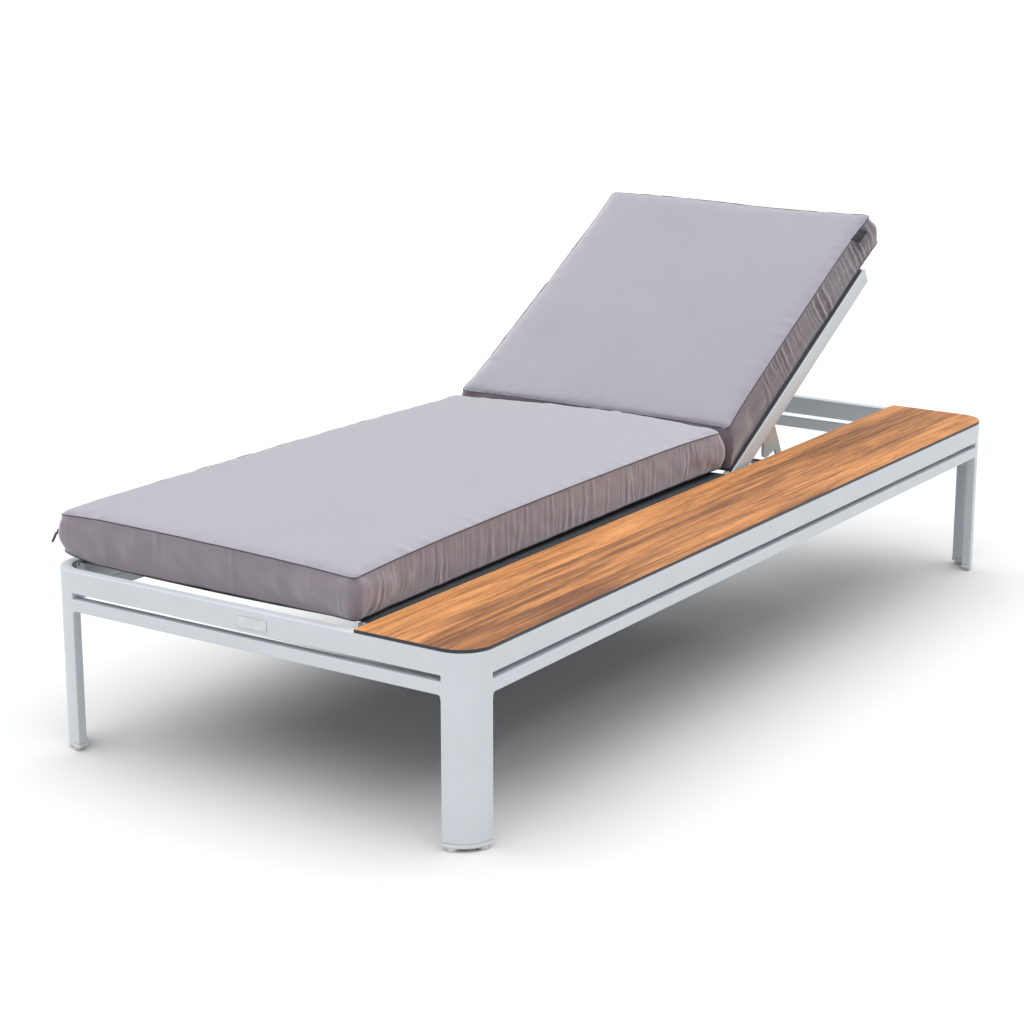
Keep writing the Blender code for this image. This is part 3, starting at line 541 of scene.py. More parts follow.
def frame_columns(fillet, corner_steps=24, fillet_steps=5):
    """Columns round the frame, anticlockwise: outer point, inner point, how far the lower rail's
    underside drops there, and whether the column belongs to a leg.

    A corner column at angle t lies at centre + radius * (cos t, sin t). Beside a leg the drop is
    fillet * (1 - sin q) at a distance of fillet * (1 - cos q) from the leg."""
    outer = []
    inner = []
    drop = []
    leg = []
    quarter = math.pi / 2
    angles = np.arange(corner_steps + 1) / corner_steps * quarter
    bends = np.arange(1, fillet_steps + 1) / fillet_steps * quarter
    for turn, (side, end) in enumerate(((1, 1), (-1, 1), (-1, -1), (1, -1))):
        centre = np.array([side * (HALF_WIDTH - CORNER), end * (HALF_LENGTH - CORNER)])
        way = np.stack([np.cos(angles + turn * quarter), np.sin(angles + turn * quarter)], 1)
        arc_outer = centre + CORNER * way
        arc_inner = centre + (CORNER - TUBE) * way
        distance = fillet * (1 - np.cos(bends))
        fall = fillet * (1 - np.sin(bends))
        for edge, sign, order in ((0, 1, slice(None, None, -1)), (-1, -1, slice(None))):
            ahead = np.array([-way[edge, 1], way[edge, 0]]) * -sign
            along = distance[order, None] * ahead
            fillet_outer = arc_outer[edge] + along
            fillet_inner = arc_inner[edge] + along
            if edge == 0:
                outer += [fillet_outer, arc_outer]
                inner += [fillet_inner, arc_inner]
                drop += [fall[order], np.full(len(way), fillet)]
                leg += [np.zeros(fillet_steps, bool), np.ones(len(way), bool)]
            else:
                outer.append(fillet_outer)
                inner.append(fillet_inner)
                drop.append(fall)
                leg.append(np.zeros(fillet_steps, bool))
    return tuple(np.concatenate(each) for each in (outer, inner, drop, leg))


def frame_shell(fillet):
    """The welded frame as one wall: a grid of rows, columns and two depths, whose faces stand
    wherever a solid cell meets an empty one."""
    outer, inner, drop, leg = frame_columns(fillet)
    count = len(outer)
    heights = [LEG_LOW[2], LOWER_LOW[2], LOWER_HIGH[2], UPPER_LOW[2], UPPER_HIGH[2]]
    points = np.zeros((len(heights), count, 2, 3))
    points[:, :, 0, :2] = outer
    points[:, :, 1, :2] = inner
    points[..., 2] = np.array(heights)[:, None, None]
    points[1, :, :, 2] -= drop[:, None]
    leg_cell = leg & np.roll(leg, -1)
    solid = np.stack([leg_cell, np.ones(count, bool), leg_cell, np.ones(count, bool)])

    def index(row, column, depth):
        return (row * count + column % count) * 2 + depth

    faces = []
    band, column = np.nonzero(solid)
    faces.append([index(band, column, 0), index(band, column + 1, 0),
                  index(band + 1, column + 1, 0), index(band + 1, column, 0)])
    faces.append([index(band, column, 1), index(band + 1, column, 1),
                  index(band + 1, column + 1, 1), index(band, column + 1, 1)])
    empty = np.zeros((1, count), bool)
    below = np.concatenate([empty, solid])
    above = np.concatenate([solid, empty])
    row, column = np.nonzero(below & ~above)
    faces.append([index(row, column, 0), index(row, column + 1, 0),
                  index(row, column + 1, 1), index(row, column, 1)])
    row, column = np.nonzero(above & ~below)
    faces.append([index(row, column, 0), index(row, column, 1),
                  index(row, column + 1, 1), index(row, column + 1, 0)])
    behind = np.roll(solid, 1, 1)
    band, column = np.nonzero(solid & ~behind)
    faces.append([index(band, column, 0), index(band + 1, column, 0),
                  index(band + 1, column, 1), index(band, column, 1)])
    band, column = np.nonzero(behind & ~solid)
    faces.append([index(band, column, 0), index(band, column, 1),
                  index(band + 1, column, 1), index(band + 1, column, 0)])
    return points, np.concatenate([np.stack(each, 1) for each in faces])


class LOUNGER_OT_frame(Operator):
    """Welded base frame of four quarter-round legs and two rails round it"""

    bl_idname = "lounger.welded_frame"
    bl_label = "Welded frame"

    def execute(self, context):
        look = context.scene.lounger.metal
        points, faces = frame_shell(look.fillet)
        shell = add_piece("welded_frame", points, faces, coat("frame_powder_coat", look.paint), BASE)
        round_edges(shell, look.edge)
        corners = ("foot_left", "foot_right", "head_left", "head_right")
        sides = ("foot", "head", "left", "right")
        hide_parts(*(f"leg_{corner}" for corner in corners),
                    *(f"{level}_rail_{side}" for level in ("upper", "lower") for side in sides))
        return {"FINISHED"}


class LOUNGER_OT_fittings(Operator):
    """Finish of the kept pieces: deck rails, cross tubes, blocks, bolts, racks, caps and glides"""

    bl_idname = "lounger.fittings"
    bl_label = "Rails, fittings and feet"

    def execute(self, context):
        look = context.scene.lounger.metal
        group = tidy_shading()
        nodes = list(frame["nodes"])
        paint = coat("rail_powder_coat", look.paint)
        painted = [name for name in nodes
                   if name.startswith(("inner_rail", "shelf_bearer", "seat_rail", "seat_cross", "seat_block",
                                       "back_rail", "back_cross"))]
        keep_nodes(painted, paint, group)
        steel = brushed("zinc_steel", look.steel, (900, 900, 60))
        keep_nodes([name for name in nodes if name.startswith(("hinge_bolt", "stay_bolt", "rack"))],
                   steel, group)
        keep_nodes(["stay_rod"], brushed("drawn_rod", look.steel, (30, 900, 900)), group)
        keep_nodes(["stay_plate_left", "stay_plate_right"],
                   coat("stay_coat", look.stay_paint, roughness=0.36), group)
        for start, finish in (("leg_cap", plastic("cap_plastic", look.cap)),
                              ("glide", plastic("glide_plastic", look.glide, roughness=0.38)),
                              ("hinge_spacer", plastic("bush_plastic", look.glide, roughness=0.4))):
            keep_nodes([name for name in nodes if name.startswith(start)], finish, group)
        return {"FINISHED"}


def board_ring(inset, z, inner_corner, steps=28):
    """The board's outline drawn in by inset: each corner is centre + (radius - inset) * (cos t, sin t)."""
    corners = ((BOARD_HIGH[0], BOARD_HIGH[1], CORNER), (BOARD_LOW[0], BOARD_HIGH[1], inner_corner),
               (BOARD_LOW[0], BOARD_LOW[1], inner_corner), (BOARD_HIGH[0], BOARD_LOW[1], CORNER))
    middle = (BOARD_LOW + BOARD_HIGH) / 2
    ring = []
    for turn, (x, y, radius) in enumerate(corners):
        angle = (turn + np.arange(steps + 1) / steps) * math.pi / 2
        centre_x = x - math.copysign(radius, x - middle[0])
        centre_y = y - math.copysign(radius, y - middle[1])
        ring.append(np.stack([centre_x + (radius - inset) * np.cos(angle),
                              centre_y + (radius - inset) * np.sin(angle),
                              np.full(steps + 1, z)], 1))
    return np.concatenate(ring)


class LOUNGER_OT_shelf(Operator):
    """Laminate shelf board with a dark core and rounded outer corners

    Its edges are rounded by insets of edge * (1 - sin t) below and edge * (1 - cos t) above."""

    bl_idname = "lounger.shelf"
    bl_label = "Shelf"

    def execute(self, context):
        look = context.scene.lounger.shelf
        edge = look.round_over
        decor = 0.0006
        decor_rows = 2
        low, high = float(BOARD_LOW[2]), float(BOARD_HIGH[2])
        quarter = np.arange(5) / 4 * math.pi / 2
        profile = [(edge * (1 - math.sin(t)), low + edge * (1 - math.cos(t))) for t in quarter]
        profile.append((0.0, high - edge - decor))
        profile += [(edge * (1 - math.cos(t)), high - edge * (1 - math.sin(t))) for t in quarter]
        rings = np.stack([board_ring(inset, z, look.inner_corner) for inset, z in profile])
        count = rings.shape[1]
        walls = grid_faces(len(rings), count, False, True)
        faces = with_ends(walls, len(rings), count)
        board = add_piece("shelf_laminate", rings, faces, [core_laminate(look), teak(look)], BASE)
        slots = np.zeros(len(faces), np.int32)
        slots[len(walls) - decor_rows * count:len(walls)] = 1
        slots[-1] = 1
        board.data.polygons.foreach_set("material_index", slots)
        even_shading(board)
        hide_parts("shelf_board")
        return {"FINISHED"}


def deck_point(x, along, normal, angle):
    """A point at x, along a deck from the hinge and square to it, with the deck at an angle."""
    x, along, normal = np.broadcast_arrays(x, along, normal)
    y = HINGE[1] + along * math.cos(angle) - normal * math.sin(angle)
    z = HINGE[2] + along * math.sin(angle) + normal * math.cos(angle)
    return np.stack([x, y, z], -1)


def sling_section(sag, steps=40):
    """Half of the sling's section (across, normal), from the rail's groove over its lip to the middle.

    It bends over the lip on a quarter circle (cos t, sin t), and between the rails it sags by
    sag * (1 - (x / half)^2)."""
    hem_depth = 0.005
    lip_depth = 0.002
    groove_top = DECK_DEPTH / 2
    height = groove_top + SLING_THICKNESS / 2 + SLING_GAP
    bend = SLING_THICKNESS
    quarter = np.arange(7) / 6 * math.pi / 2
    hem = np.array([[SLING_SLOT, groove_top - hem_depth], [SLING_SLOT, groove_top - lip_depth]])
    over = np.stack([SLING_SLOT - bend + bend * np.cos(quarter),
                     height - bend + bend * np.sin(quarter)], 1)
    inner = DECK_OFFSET - DECK_RAIL / 2
    x = np.linspace(inner, 0, steps)
    span = np.stack([x, height - sag * (1 - (x / inner) ** 2)], 1)
    return np.concatenate([hem, over, span])


def make_sling(name, node, start, end, angle, body, look, finish):
    """A sling stretched over its two rails, with its hems down in their grooves: its section, mirrored
    about the middle, carried straight along the deck."""
    right = sling_section(look.sag)
    left = right[-2::-1] * (-1, 1)
    section = np.concatenate([right, left])
    run = np.linspace(start, end, 60)
    points = deck_point(DECK_CENTRE + section[None, :, 0], run[:, None], section[None, :, 1], angle)
    faces = grid_faces(len(run), len(section))
    length = np.concatenate([[0], np.cumsum(np.linalg.norm(np.diff(section, axis=0), axis=1))])
    cut = np.stack(np.broadcast_arrays(length[None, :], run[:, None]), -1).reshape(-1, 2)
    sling = add_piece(name, points, faces, finish, body, uv=cut[faces.ravel()])
    wall = sling.modifiers.new("cloth_thickness", "SOLIDIFY")
    wall.thickness = SLING_THICKNESS
    wall.offset = 0
    wall.use_even_offset = True
    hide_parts(node)
    return sling


class LOUNGER_OT_slings(Operator):
    """Woven slings of the seat deck and the backrest"""

    bl_idname = "lounger.slings"
    bl_label = "Slings"

    def execute(self, context):
        look = context.scene.lounger.cloth
        finish = woven("sling_weave", look.sling, look.sling_yarn, contrast=0.22, depth=0.0005, sheen=0.1)
        low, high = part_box("seat_sling")
        make_sling("seat_sling_cloth", "seat_sling", low[1] - HINGE[1], high[1] - HINGE[1], 0.0, BASE,
                   look, finish)
        hinge_clearance = 0.002
        end_clearance = 0.006
        lean = DECK_DEPTH / 2 * math.sin(BACK_ANGLE)
        start = (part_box("back_sling")[0][1] - HINGE[1] + lean) / math.cos(BACK_ANGLE)
        end = (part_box("back_rail_right")[1][1] - HINGE[1] - lean) / math.cos(BACK_ANGLE)
        make_sling("back_sling_cloth", "back_sling", start + hinge_clearance, end - end_clearance,
                   BACK_ANGLE, BACKREST, look, finish)
        return {"FINISHED"}


def grid_lines(length, fine=0.003, coarse=0.0095, growth=1.5):
    """Lines across a panel: cells grow from fine at both edges, each growth times the last."""
    sizes = [fine]
    while sizes[-1] * growth < coarse:
        sizes.append(sizes[-1] * growth)
    border = np.cumsum([0] + sizes)
    rest = length - 2 * border[-1]
    count = math.ceil(rest / coarse)
    middle = border[-1] + rest * np.arange(1, count) / count
    return np.concatenate([border, middle, length - border[::-1]])


class Cushion:
    """A box cushion: top and bottom panels and a band between them, all on one grid.

    half is half its width, start and end where it begins and ends along the deck, seams the heights of
    its two seams, rest the plane it lies on, leans how far its start and end move along the cushion
    from the lower to the upper seam, radii the plan radii of its corners at the start and the end, and
    draw how far its sides pull in between the corners. Each lift moves the cover at one level, 1 for
    the upper seam and 0 for the lower: level, across, along, shift, reach, power."""

    end_pull = 0.003
    lower_fade = 0.035

    def __init__(self, name, centre, half, start, end, leans, seams, rest, angle, radii, draw, lifts):
        self.name = name
        self.radii = radii
        self.draw = draw
        self.lifts = lifts
        self.centre = centre
        self.half = half
        self.start = start
        self.end = end
        self.leans = leans
        self.seams = seams
        self.rest = rest
        self.angle = angle
        self.across = grid_lines(2 * half) - half
        self.along = grid_lines(end - start)
        self.up = grid_lines(self.height()) / self.height()

    def plan(self, across, along):
        """Plan place of a grid point: the square-to-disc map x * sqrt(1 - y^2 / 2) rounds each corner."""
        length = self.end - self.start
        y = along - length / 2
        radius = np.where(y < 0, *self.radii)
        corner_x = np.clip(np.abs(across) - (self.half - radius), 0, None) / radius
        corner_y = np.clip(np.abs(y) - (length / 2 - radius), 0, None) / radius
        x_out = np.minimum(np.abs(across), self.half - radius) + radius * corner_x * np.sqrt(
            1 - corner_y ** 2 / 2)
        y_out = np.minimum(np.abs(y), length / 2 - radius) + radius * corner_y * np.sqrt(
            1 - corner_x ** 2 / 2)
        return np.sign(across) * x_out, np.sign(y) * y_out + length / 2

    def panel(self, height):
        """One panel's points at a share of the height, as rows along and columns across. The sides pull
        in by draw * (1 - s^4), with s from -1 to 1 along the cushion, and the ends by the same form of
        the end pull."""
        x, y = self.plan(self.across[None, :], self.along[:, None])
        x, y = np.broadcast_arrays(x, y)
        length = self.end - self.start
        draw = self.draw * (1 - (2 * y / length - 1) ** 4) * x / self.half
        pull = self.end_pull * (1 - (x / self.half) ** 4) * (1 - 2 * y / length)
        start = self.start + self.leans[0] * height
        end = self.end + self.leans[1] * height
        along = start + (end - start) * y / length + pull
        normal = self.seams[0] + self.height() * height
        return np.stack([x - draw, along, np.full_like(x, normal)], -1)

    def drape(self, points, rise):
        """Sum of the lifts, each shift * exp(-(distance / reach)^power) and full at its own level."""
        upper = np.clip(rise, 0, 1)
        lower = np.where(rise < 0, np.exp(np.minimum(rise, 0) / self.lower_fade), 1 - upper)
        total = np.zeros_like(points)
        for level, across, along, shift, reach, power in self.lifts:
            distance = np.hypot(points[:, 0] - across, points[:, 1] - along)
            weight = (upper if level else lower) * np.exp(-(distance / reach) ** power)
            total += weight[:, None] * shift
        return total

    def rim(self):
        """Grid indices of the panel's border, anticlockwise from its start's right corner."""
        rows, columns = len(self.along), len(self.across)
        right = [(row, columns - 1) for row in range(rows - 1)]
        end = [(rows - 1, column) for column in range(columns - 1, 0, -1)]
        left = [(row, 0) for row in range(rows - 1, 0, -1)]
        start = [(0, column) for column in range(columns - 1)]
        return np.array([row * columns + column for row, column in right + end + left + start])

    def height(self):
        """Distance between the two seams."""
        return self.seams[1] - self.seams[0]

    def build(self, finish):
        """The start shape, with a UV map in metres and an attribute, rise: the share of the height on
        the band, 1 + the distance from the seam on the top and - that distance below."""
        rows, columns = len(self.along), len(self.across)
        panel_size = rows * columns
        top = self.panel(1.0).reshape(-1, 3)
        bottom = self.panel(0.0).reshape(-1, 3)
        rim = self.rim()
        inner = self.up[1:-1, None, None]
        band = bottom[rim][None] * (1 - inner) + top[rim][None] * inner
        points = np.concatenate([top, bottom, band.reshape(-1, 3)])
        panel_faces = grid_faces(rows, columns)
        levels = np.concatenate([(panel_size + rim)[None],
                                 2 * panel_size + np.arange(len(inner) * len(rim)).reshape(len(inner), -1),
                                 rim[None]])
        band_index = grid_faces(len(self.up), len(rim), False, True)
        band_faces = levels.ravel()[band_index]
        bottom_faces = panel_faces[:, ::-1] + panel_size
        faces = np.concatenate([panel_faces, bottom_faces, band_faces])
        around = np.linalg.norm(np.diff(top[np.append(rim, rim[0])], axis=0), axis=1)
        girth = np.concatenate([[0], np.cumsum(around)])
        column_of = band_index % len(rim)
        wrapped = (column_of == 0) & (band_index.max(1) % len(rim) == len(rim) - 1)[:, None]
        u = np.where(wrapped, girth[-1], girth[column_of])
        v = (self.up * self.height())[band_index // len(rim)]
        flat = np.stack([top[:, 0], top[:, 1]], -1)
        uv = np.concatenate([flat[panel_faces].reshape(-1, 2), flat[panel_faces[:, ::-1]].reshape(-1, 2),
                             np.stack([u, v], -1).reshape(-1, 2)])
        made = add_piece(self.name, points, faces, finish, uv=uv)
        # The band's faces take the second finish, a darker copy of the cloth that paints the shade on the
        # cushion's sides.
        slots = np.zeros(len(faces), np.int32)
        slots[2 * len(panel_faces):] = 1
        made.data.polygons.foreach_set("material_index", slots)
        from_side = self.half - np.abs(self.across)
        from_end = np.minimum(self.along, self.end - self.start - self.along)
        border = np.minimum(from_side[None, :], from_end[:, None])
        rise = np.concatenate([1 + border.ravel(), -border.ravel(), np.repeat(self.up[1:-1], len(rim))])
        layer = made.data.attributes.new("rise", "FLOAT", "POINT")
        layer.data.foreach_set("value", rise.astype(np.float32))
        return made

    def girth_of(self, points):
        """Distance round the cushion of a point beside its band, from its start's right corner."""
        length = self.end - self.start
        width = 2 * self.half
        x, y = points[:, 0], points[:, 1] - self.start
        nearest = np.argmin(np.stack([self.half - x, length - y, self.half + x, y]), axis=0)
        rounds = [y, length + self.half - x, length + width + length - y,
                  2 * length + width + self.half + x]
        return np.choose(nearest, rounds)

    def from_seam(self, rise):
        """Distance of a point from its nearest seam, from its rise."""
        on_band = np.minimum(rise, 1 - rise) * self.height()
        return np.where(rise > 1, rise - 1, np.where(rise < 0, -rise, on_band))


def read_points(mesh):
    """The mesh's points as rows of x, y and z."""
    points = np.empty(len(mesh.vertices) * 3, np.float32)
    mesh.vertices.foreach_get("co", points)
    return points.reshape(-1, 3).astype(float)


def read_rise(mesh):
    """The cover's own attribute, which says where on the cushion a point lies."""
    rise = np.empty(len(mesh.vertices), np.float32)
    mesh.attributes["rise"].data.foreach_get("value", rise)
    return rise.astype(float)


def read_normals(mesh):
    """The points' normals as rows of x, y and z."""
    normals = np.empty(len(mesh.vertices) * 3, np.float32)
    mesh.vertex_normals.foreach_get("vector", normals)
    return normals.reshape(-1, 3).astype(float)


def write_points(mesh, points):
    """Puts the points back into the mesh."""
    mesh.vertices.foreach_set("co", points.astype(np.float32).ravel())
    mesh.update()


def inflate(piece, frames=20, pressure=4.0):
    """How far each point moves when the cover is blown up as cloth, with no gravity."""
    scene = bpy.context.scene
    before = read_points(piece.data)
    fill = piece.modifiers.new("fill", "CLOTH")
    settings = fill.settings
    settings.quality = 4
    settings.use_pressure = True
    settings.uniform_pressure_force = pressure
    settings.effector_weights.gravity = 0
    fill.point_cache.frame_start = 1
    fill.point_cache.frame_end = frames
    for step in range(1, frames + 1):
        scene.frame_set(step)
    evaluated = piece.evaluated_get(bpy.context.evaluated_depsgraph_get())
    moved = read_points(evaluated.data) - before
    piece.modifiers.remove(fill)
    scene.frame_set(1)
    return moved


def swell(piece, cushion, crown, seam_reach=0.02, push=3):
    """The filling's own push on the cover: push * crown * (1 - exp(-distance from the seam / reach)),
    which blow_up then limits."""
    from_seam = cushion.from_seam(read_rise(piece.data))
    return read_normals(piece.data) * (crown * (1 - np.exp(-from_seam / seam_reach)))[:, None] * push


def soften(piece):
    """Applies one Subdivision Surface."""
    smooth = piece.modifiers.new("smooth", "SUBSURF")
    smooth.levels = 1
    smooth.render_levels = 1
    graph = bpy.context.evaluated_depsgraph_get()
    mesh = bpy.data.meshes.new_from_object(piece.evaluated_get(graph), preserve_all_data_layers=True,
                                           depsgraph=graph)
    piece.modifiers.remove(smooth)
    old = piece.data
    piece.data = mesh
    bpy.data.meshes.remove(old)


def refine_band(piece, cuts):
    """Splits the band's edges that run along the seams, so that narrow puckers have points enough."""
    work = bmesh.new()
    work.from_mesh(piece.data)
    layer = work.verts.layers.float["rise"]
    edges = []
    for edge in work.edges:
        first, second = edge.verts[0][layer], edge.verts[1][layer]
        if -NEAR < first < 1 + NEAR and abs(first - second) < NEAR:
            edges.append(edge)
    bmesh.ops.subdivide_edges(work, edges=edges, cuts=cuts)
    work.to_mesh(piece.data)
    work.free()
    piece.data.shade_smooth()


def pucker_relief(girth, rise, puckers):
    """Sum of the puckers' heights: each is (1 - q^2) * exp(-q^2 / 2) across its width, with q the
    distance from its leaning line over its width, and fades as exp(-(t / reach)^2) from its seam."""
    order = np.argsort(girth)
    sorted_girth = girth[order]
    total = np.zeros(len(girth))
    for place, width, height, lean, reach, from_top in puckers:
        span = 4 * width + abs(lean)
        first, last = np.searchsorted(sorted_girth, (place - span, place + span))
        chosen = order[first:last]
        away = 1 - rise[chosen] if from_top else rise[chosen]
        bow = 0.35 * lean * np.sin(math.pi * rise[chosen])
        q = (girth[chosen] - place - lean * rise[chosen] - bow) / width
        total[chosen] += height * (1 - q ** 2) * np.exp(-q ** 2 / 2) * np.exp(-(away / reach) ** 2)
    return total


def scatter_puckers(random, start, end, spacing, height, lean, tops):
    """Seeded puckers from start to end round the band, about spacing apart. A sine of the place makes
    loose groups, a narrow pucker is lower in proportion, and tops is the share that hangs from the
    upper seam. Each is place, width, height, lean, reach and whether it hangs from the top."""
    full_width = 0.0062
    puckers = []
    place = start
    while place < end:
        width = random.uniform(0.0022, 0.0070)
        group = 0.65 + 0.35 * math.sin(place * 31 + lean * 900)
        strength = height * group * random.uniform(0.25, 1.0) ** 1.3 * (width / full_width)
        tilt = random.normal(lean, 0.005)
        reach = random.uniform(0.45, 1.2)
        puckers.append((place, width, strength, tilt, reach, random.random() < tops))
        place += spacing * random.uniform(0.4, 1.5)
    return puckers


def waves(random, points, lengths, height, count=9):
    """Soft unevenness: a sum of count plane waves, each of its own length, way and phase."""
    total = np.zeros(len(points))
    for _ in range(count):
        turn = random.uniform(0, math.pi)
        run = points[:, 0] * math.cos(turn) + points[:, 1] * math.sin(turn)
        total += np.sin(2 * math.pi * run / random.uniform(*lengths) + random.uniform(0, 2 * math.pi))
    return total * height / math.sqrt(count)


def blow_up(cushion, piece, look):
    """Moves the cover by the filling's push and by half of the simulated cover's own movement. Each
    point's way is held to limit * tanh(way / limit), with its own limit for the top, the band, the
    bottom and the seams."""
    simulated_share = 0.5
    band_limit = 0.006
    seam_limit = 0.0025
    start = read_points(piece.data)
    rise = read_rise(piece.data)
    moved = swell(piece, cushion, look.crown)
    moved += simulated_share * inflate(piece)
    way = np.linalg.norm(moved, axis=1)
    bottom_limit = cushion.seams[0] - cushion.rest
    limit = np.where(rise > 1, look.crown, np.where(rise < 0, bottom_limit, band_limit))
    near_seam = np.minimum(np.abs(rise - 1), np.abs(rise))
    limit = np.where(near_seam < 1e-6, seam_limit, limit)
    moved *= (limit * np.tanh(way / limit) / np.maximum(way, 1e-9))[:, None]
    write_points(piece.data, start + moved)


def seam_groove(from_seam, depth=0.0016, width=0.0022):
    """How deep the seam draws the cloth in: depth * exp(-(distance / width)^2)."""
    return depth * np.exp(-(from_seam / width) ** 2)


def cover_relief(cushion, points, rise, from_seam, sides, look):
    """Height of the puckers, gathers and soft waves on a cover.

    The band has puckers, which fade beside the seams. The top has gathers, which fade within about
    100 mm of its seam, and both have waves."""
    random = np.random.default_rng(look.seed + len(cushion.name))
    girth = cushion.girth_of(points)
    length = cushion.end - cushion.start
    width = 2 * cushion.half
    starts = np.cumsum([0, length, width, length])
    puckers = []
    for begin, run, side in zip(starts, (length, width, length, width), sides):
        spacing, tall, lean, tops, bare = side
        puckers += scatter_puckers(random, begin + bare[0], begin + run - bare[1], spacing,
                                   tall * look.pucker, lean, tops)
    band = (rise >= 0) & (rise <= 1)
    top = rise > 1
    relief = np.zeros(len(points))
    relief[band] = pucker_relief(girth[band], rise[band], puckers)
    relief[band] *= 1 - 0.75 * np.exp(-(from_seam[band] / 0.006) ** 2)
    first, between, height_share, fade = 0.02, 0.036, 0.17, 0.1
    gathers = [(place, random.uniform(0.008, 0.015), height_share * look.pucker * random.uniform(0.1, 1),
                random.normal(0, 0.02), random.uniform(0.2, 0.5), True)
               for place in np.arange(first, starts[3] + width, between)]
    relief[top] += pucker_relief(girth[top], 1 - from_seam[top] / fade, gathers)
    top_waves = waves(random, points[top], lengths=(0.14, 0.42), height=0.0007)
    relief[top] += top_waves * (1 - np.exp(-from_seam[top] / 0.03))
    unrolled = np.stack([girth[band], 0.3 * rise[band]], 1)
    relief[band] += waves(random, unrolled, lengths=(0.05, 0.16), height=0.0005)
    return relief


def fill_cushion(cushion, look, finish, sides):
    """Builds, blows up, softens and puckers a cushion, still in its own deck's frame.

    sides gives, for the right, end, left and start of the band, the puckers' spacing, height, lean and
    share from the upper seam, and how much of that side is bare at its beginning and its end."""
    piece = cushion.build(finish)
    blow_up(cushion, piece, look)
    soften(piece)
    refine_band(piece, 2)
    points = read_points(piece.data)
    rise = read_rise(piece.data)
    from_seam = cushion.from_seam(rise)
    relief = cover_relief(cushion, points, rise, from_seam, sides, look) - seam_groove(from_seam)
    points += read_normals(piece.data) * relief[:, None] + cushion.drape(points, rise)
    points[:, 2] = np.maximum(points[:, 2], cushion.rest)
    write_points(piece.data, points)
    return piece


def to_world(cushion, points):
    """Points from the cushion's own deck's frame to the world."""
    return deck_point(points[..., 0] + cushion.centre, points[..., 1], points[..., 2], cushion.angle)


def seam_path(cushion, piece, level):
    """The seam's points in order round the cushion, still in the deck's frame."""
    points = read_points(piece.data)
    rise = read_rise(piece.data)
    chosen = points[np.abs(rise - level) < NEAR]
    return chosen[np.argsort(cushion.girth_of(chosen))]


def finish_cushion(cushion, piece, node, thread):
    """Sews a filled cushion's seams and puts everything in place."""
    thread_radius = 0.0011
    # Each seam gets a thin dark thread tube. It stands for the seam, and its dark tone paints the shade line
    # along it.
    tubes = []
    for level, name in ((1, "upper"), (0, "lower")):
        path = seam_path(cushion, piece, level)
        path = (np.roll(path, 1, 0) + 2 * path + np.roll(path, -1, 0)) / 4
        points, faces = tube_along(to_world(cushion, path[::2]), thread_radius, 6, True)
        tube = add_piece(f"{cushion.name}_{name}_seam", points, faces, thread)
        turn_outward(tube)
        tubes.append(tube)
    write_points(piece.data, to_world(cushion, read_points(piece.data)))
    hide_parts(node)
    return tubes


def seat_form():
    """The seat cushion's sizes, from its CAD solid and the deck under it. Its lifts sink the corners of
    the upper seam, raise the lower seam at the foot's left corner and towards the rear on the shelf
    side, and fill the middle of the rear edge."""
    overhang = 0.001
    foot_inset = 0.003
    rear_inset = 0.001
    lower_seam = 0.3415
    upper_seam = 0.4325
    left = float(SEAT_LOW[0]) - overhang
    right = float(SEAT_HIGH[0])
    half = (right - left) / 2
    start = float(SEAT_LOW[1]) + foot_inset - HINGE[1]
    end = float(SEAT_HIGH[1]) - rear_inset - HINGE[1]
    lifts = (
        (1, half, start, (0, 0, -0.017), 0.36, 1),
        (1, half, end, (0, -0.004, -0.0095), 0.14, 1),
        (1, -half, end, (0, 0, -0.0165), 0.33, 1),
        (1, -half, start, (0.006, 0.004, -0.007), 0.05, 1),
        (0, -half, start, (0.007, 0.004, 0.016), 0.055, 1.5),
        (0, half, end, (0, 0.010, 0.0085), 0.85, 2),
        (1, 0.15 * half, end, (0, 0.004, 0.0085), 0.24, 2),
    )
    return Cushion("seat_cushion_cover", (left + right) / 2, half, start, end, leans=(0, -0.002),
                   seams=(lower_seam - HINGE[2], upper_seam - HINGE[2]),
                   rest=FRAME_TOP + CUSHION_REST - HINGE[2], angle=0.0, radii=(0.013, 0.018),
                   draw=0.005, lifts=lifts)


def back_form():
    """The back cushion's sizes, in the raised backrest's own frame. Its lifts shape the head end's edge
    and spread the lower seam's sides."""
    overhang = 0.001
    shelf_inset = 0.002
    left = float(SEAT_LOW[0]) - overhang
    right = float(SEAT_HIGH[0]) - shelf_inset
    rest = DECK_DEPTH / 2 + CUSHION_REST
    lower = rest + 0.002
    upper = 0.0955
    lean = (upper - lower) * math.tan(BACK_ANGLE)
    start = 0.002
    end = 0.777
    half = (right - left) / 2
    middle = (start + end) / 2
    lifts = (
        (1, -0.55 * half, end, (0, 0, 0.005), 0.16, 2),
        (1, 0.35 * half, end, (0, 0, -0.003), 0.12, 2),
        (1, half, end, (0, 0, -0.003), 0.06, 1),
        (0, half, middle, (0.007, 0, 0), 0.45, 4),
        (0, -half, middle, (-0.007, 0, 0), 0.45, 4),
    )
    return Cushion("back_cushion_cover", (left + right) / 2, half, start, end, leans=(lean, -0.004),
                   seams=(lower, upper), rest=rest, angle=BACK_ANGLE, radii=(0.014, 0.018),
                   draw=0.004, lifts=lifts)


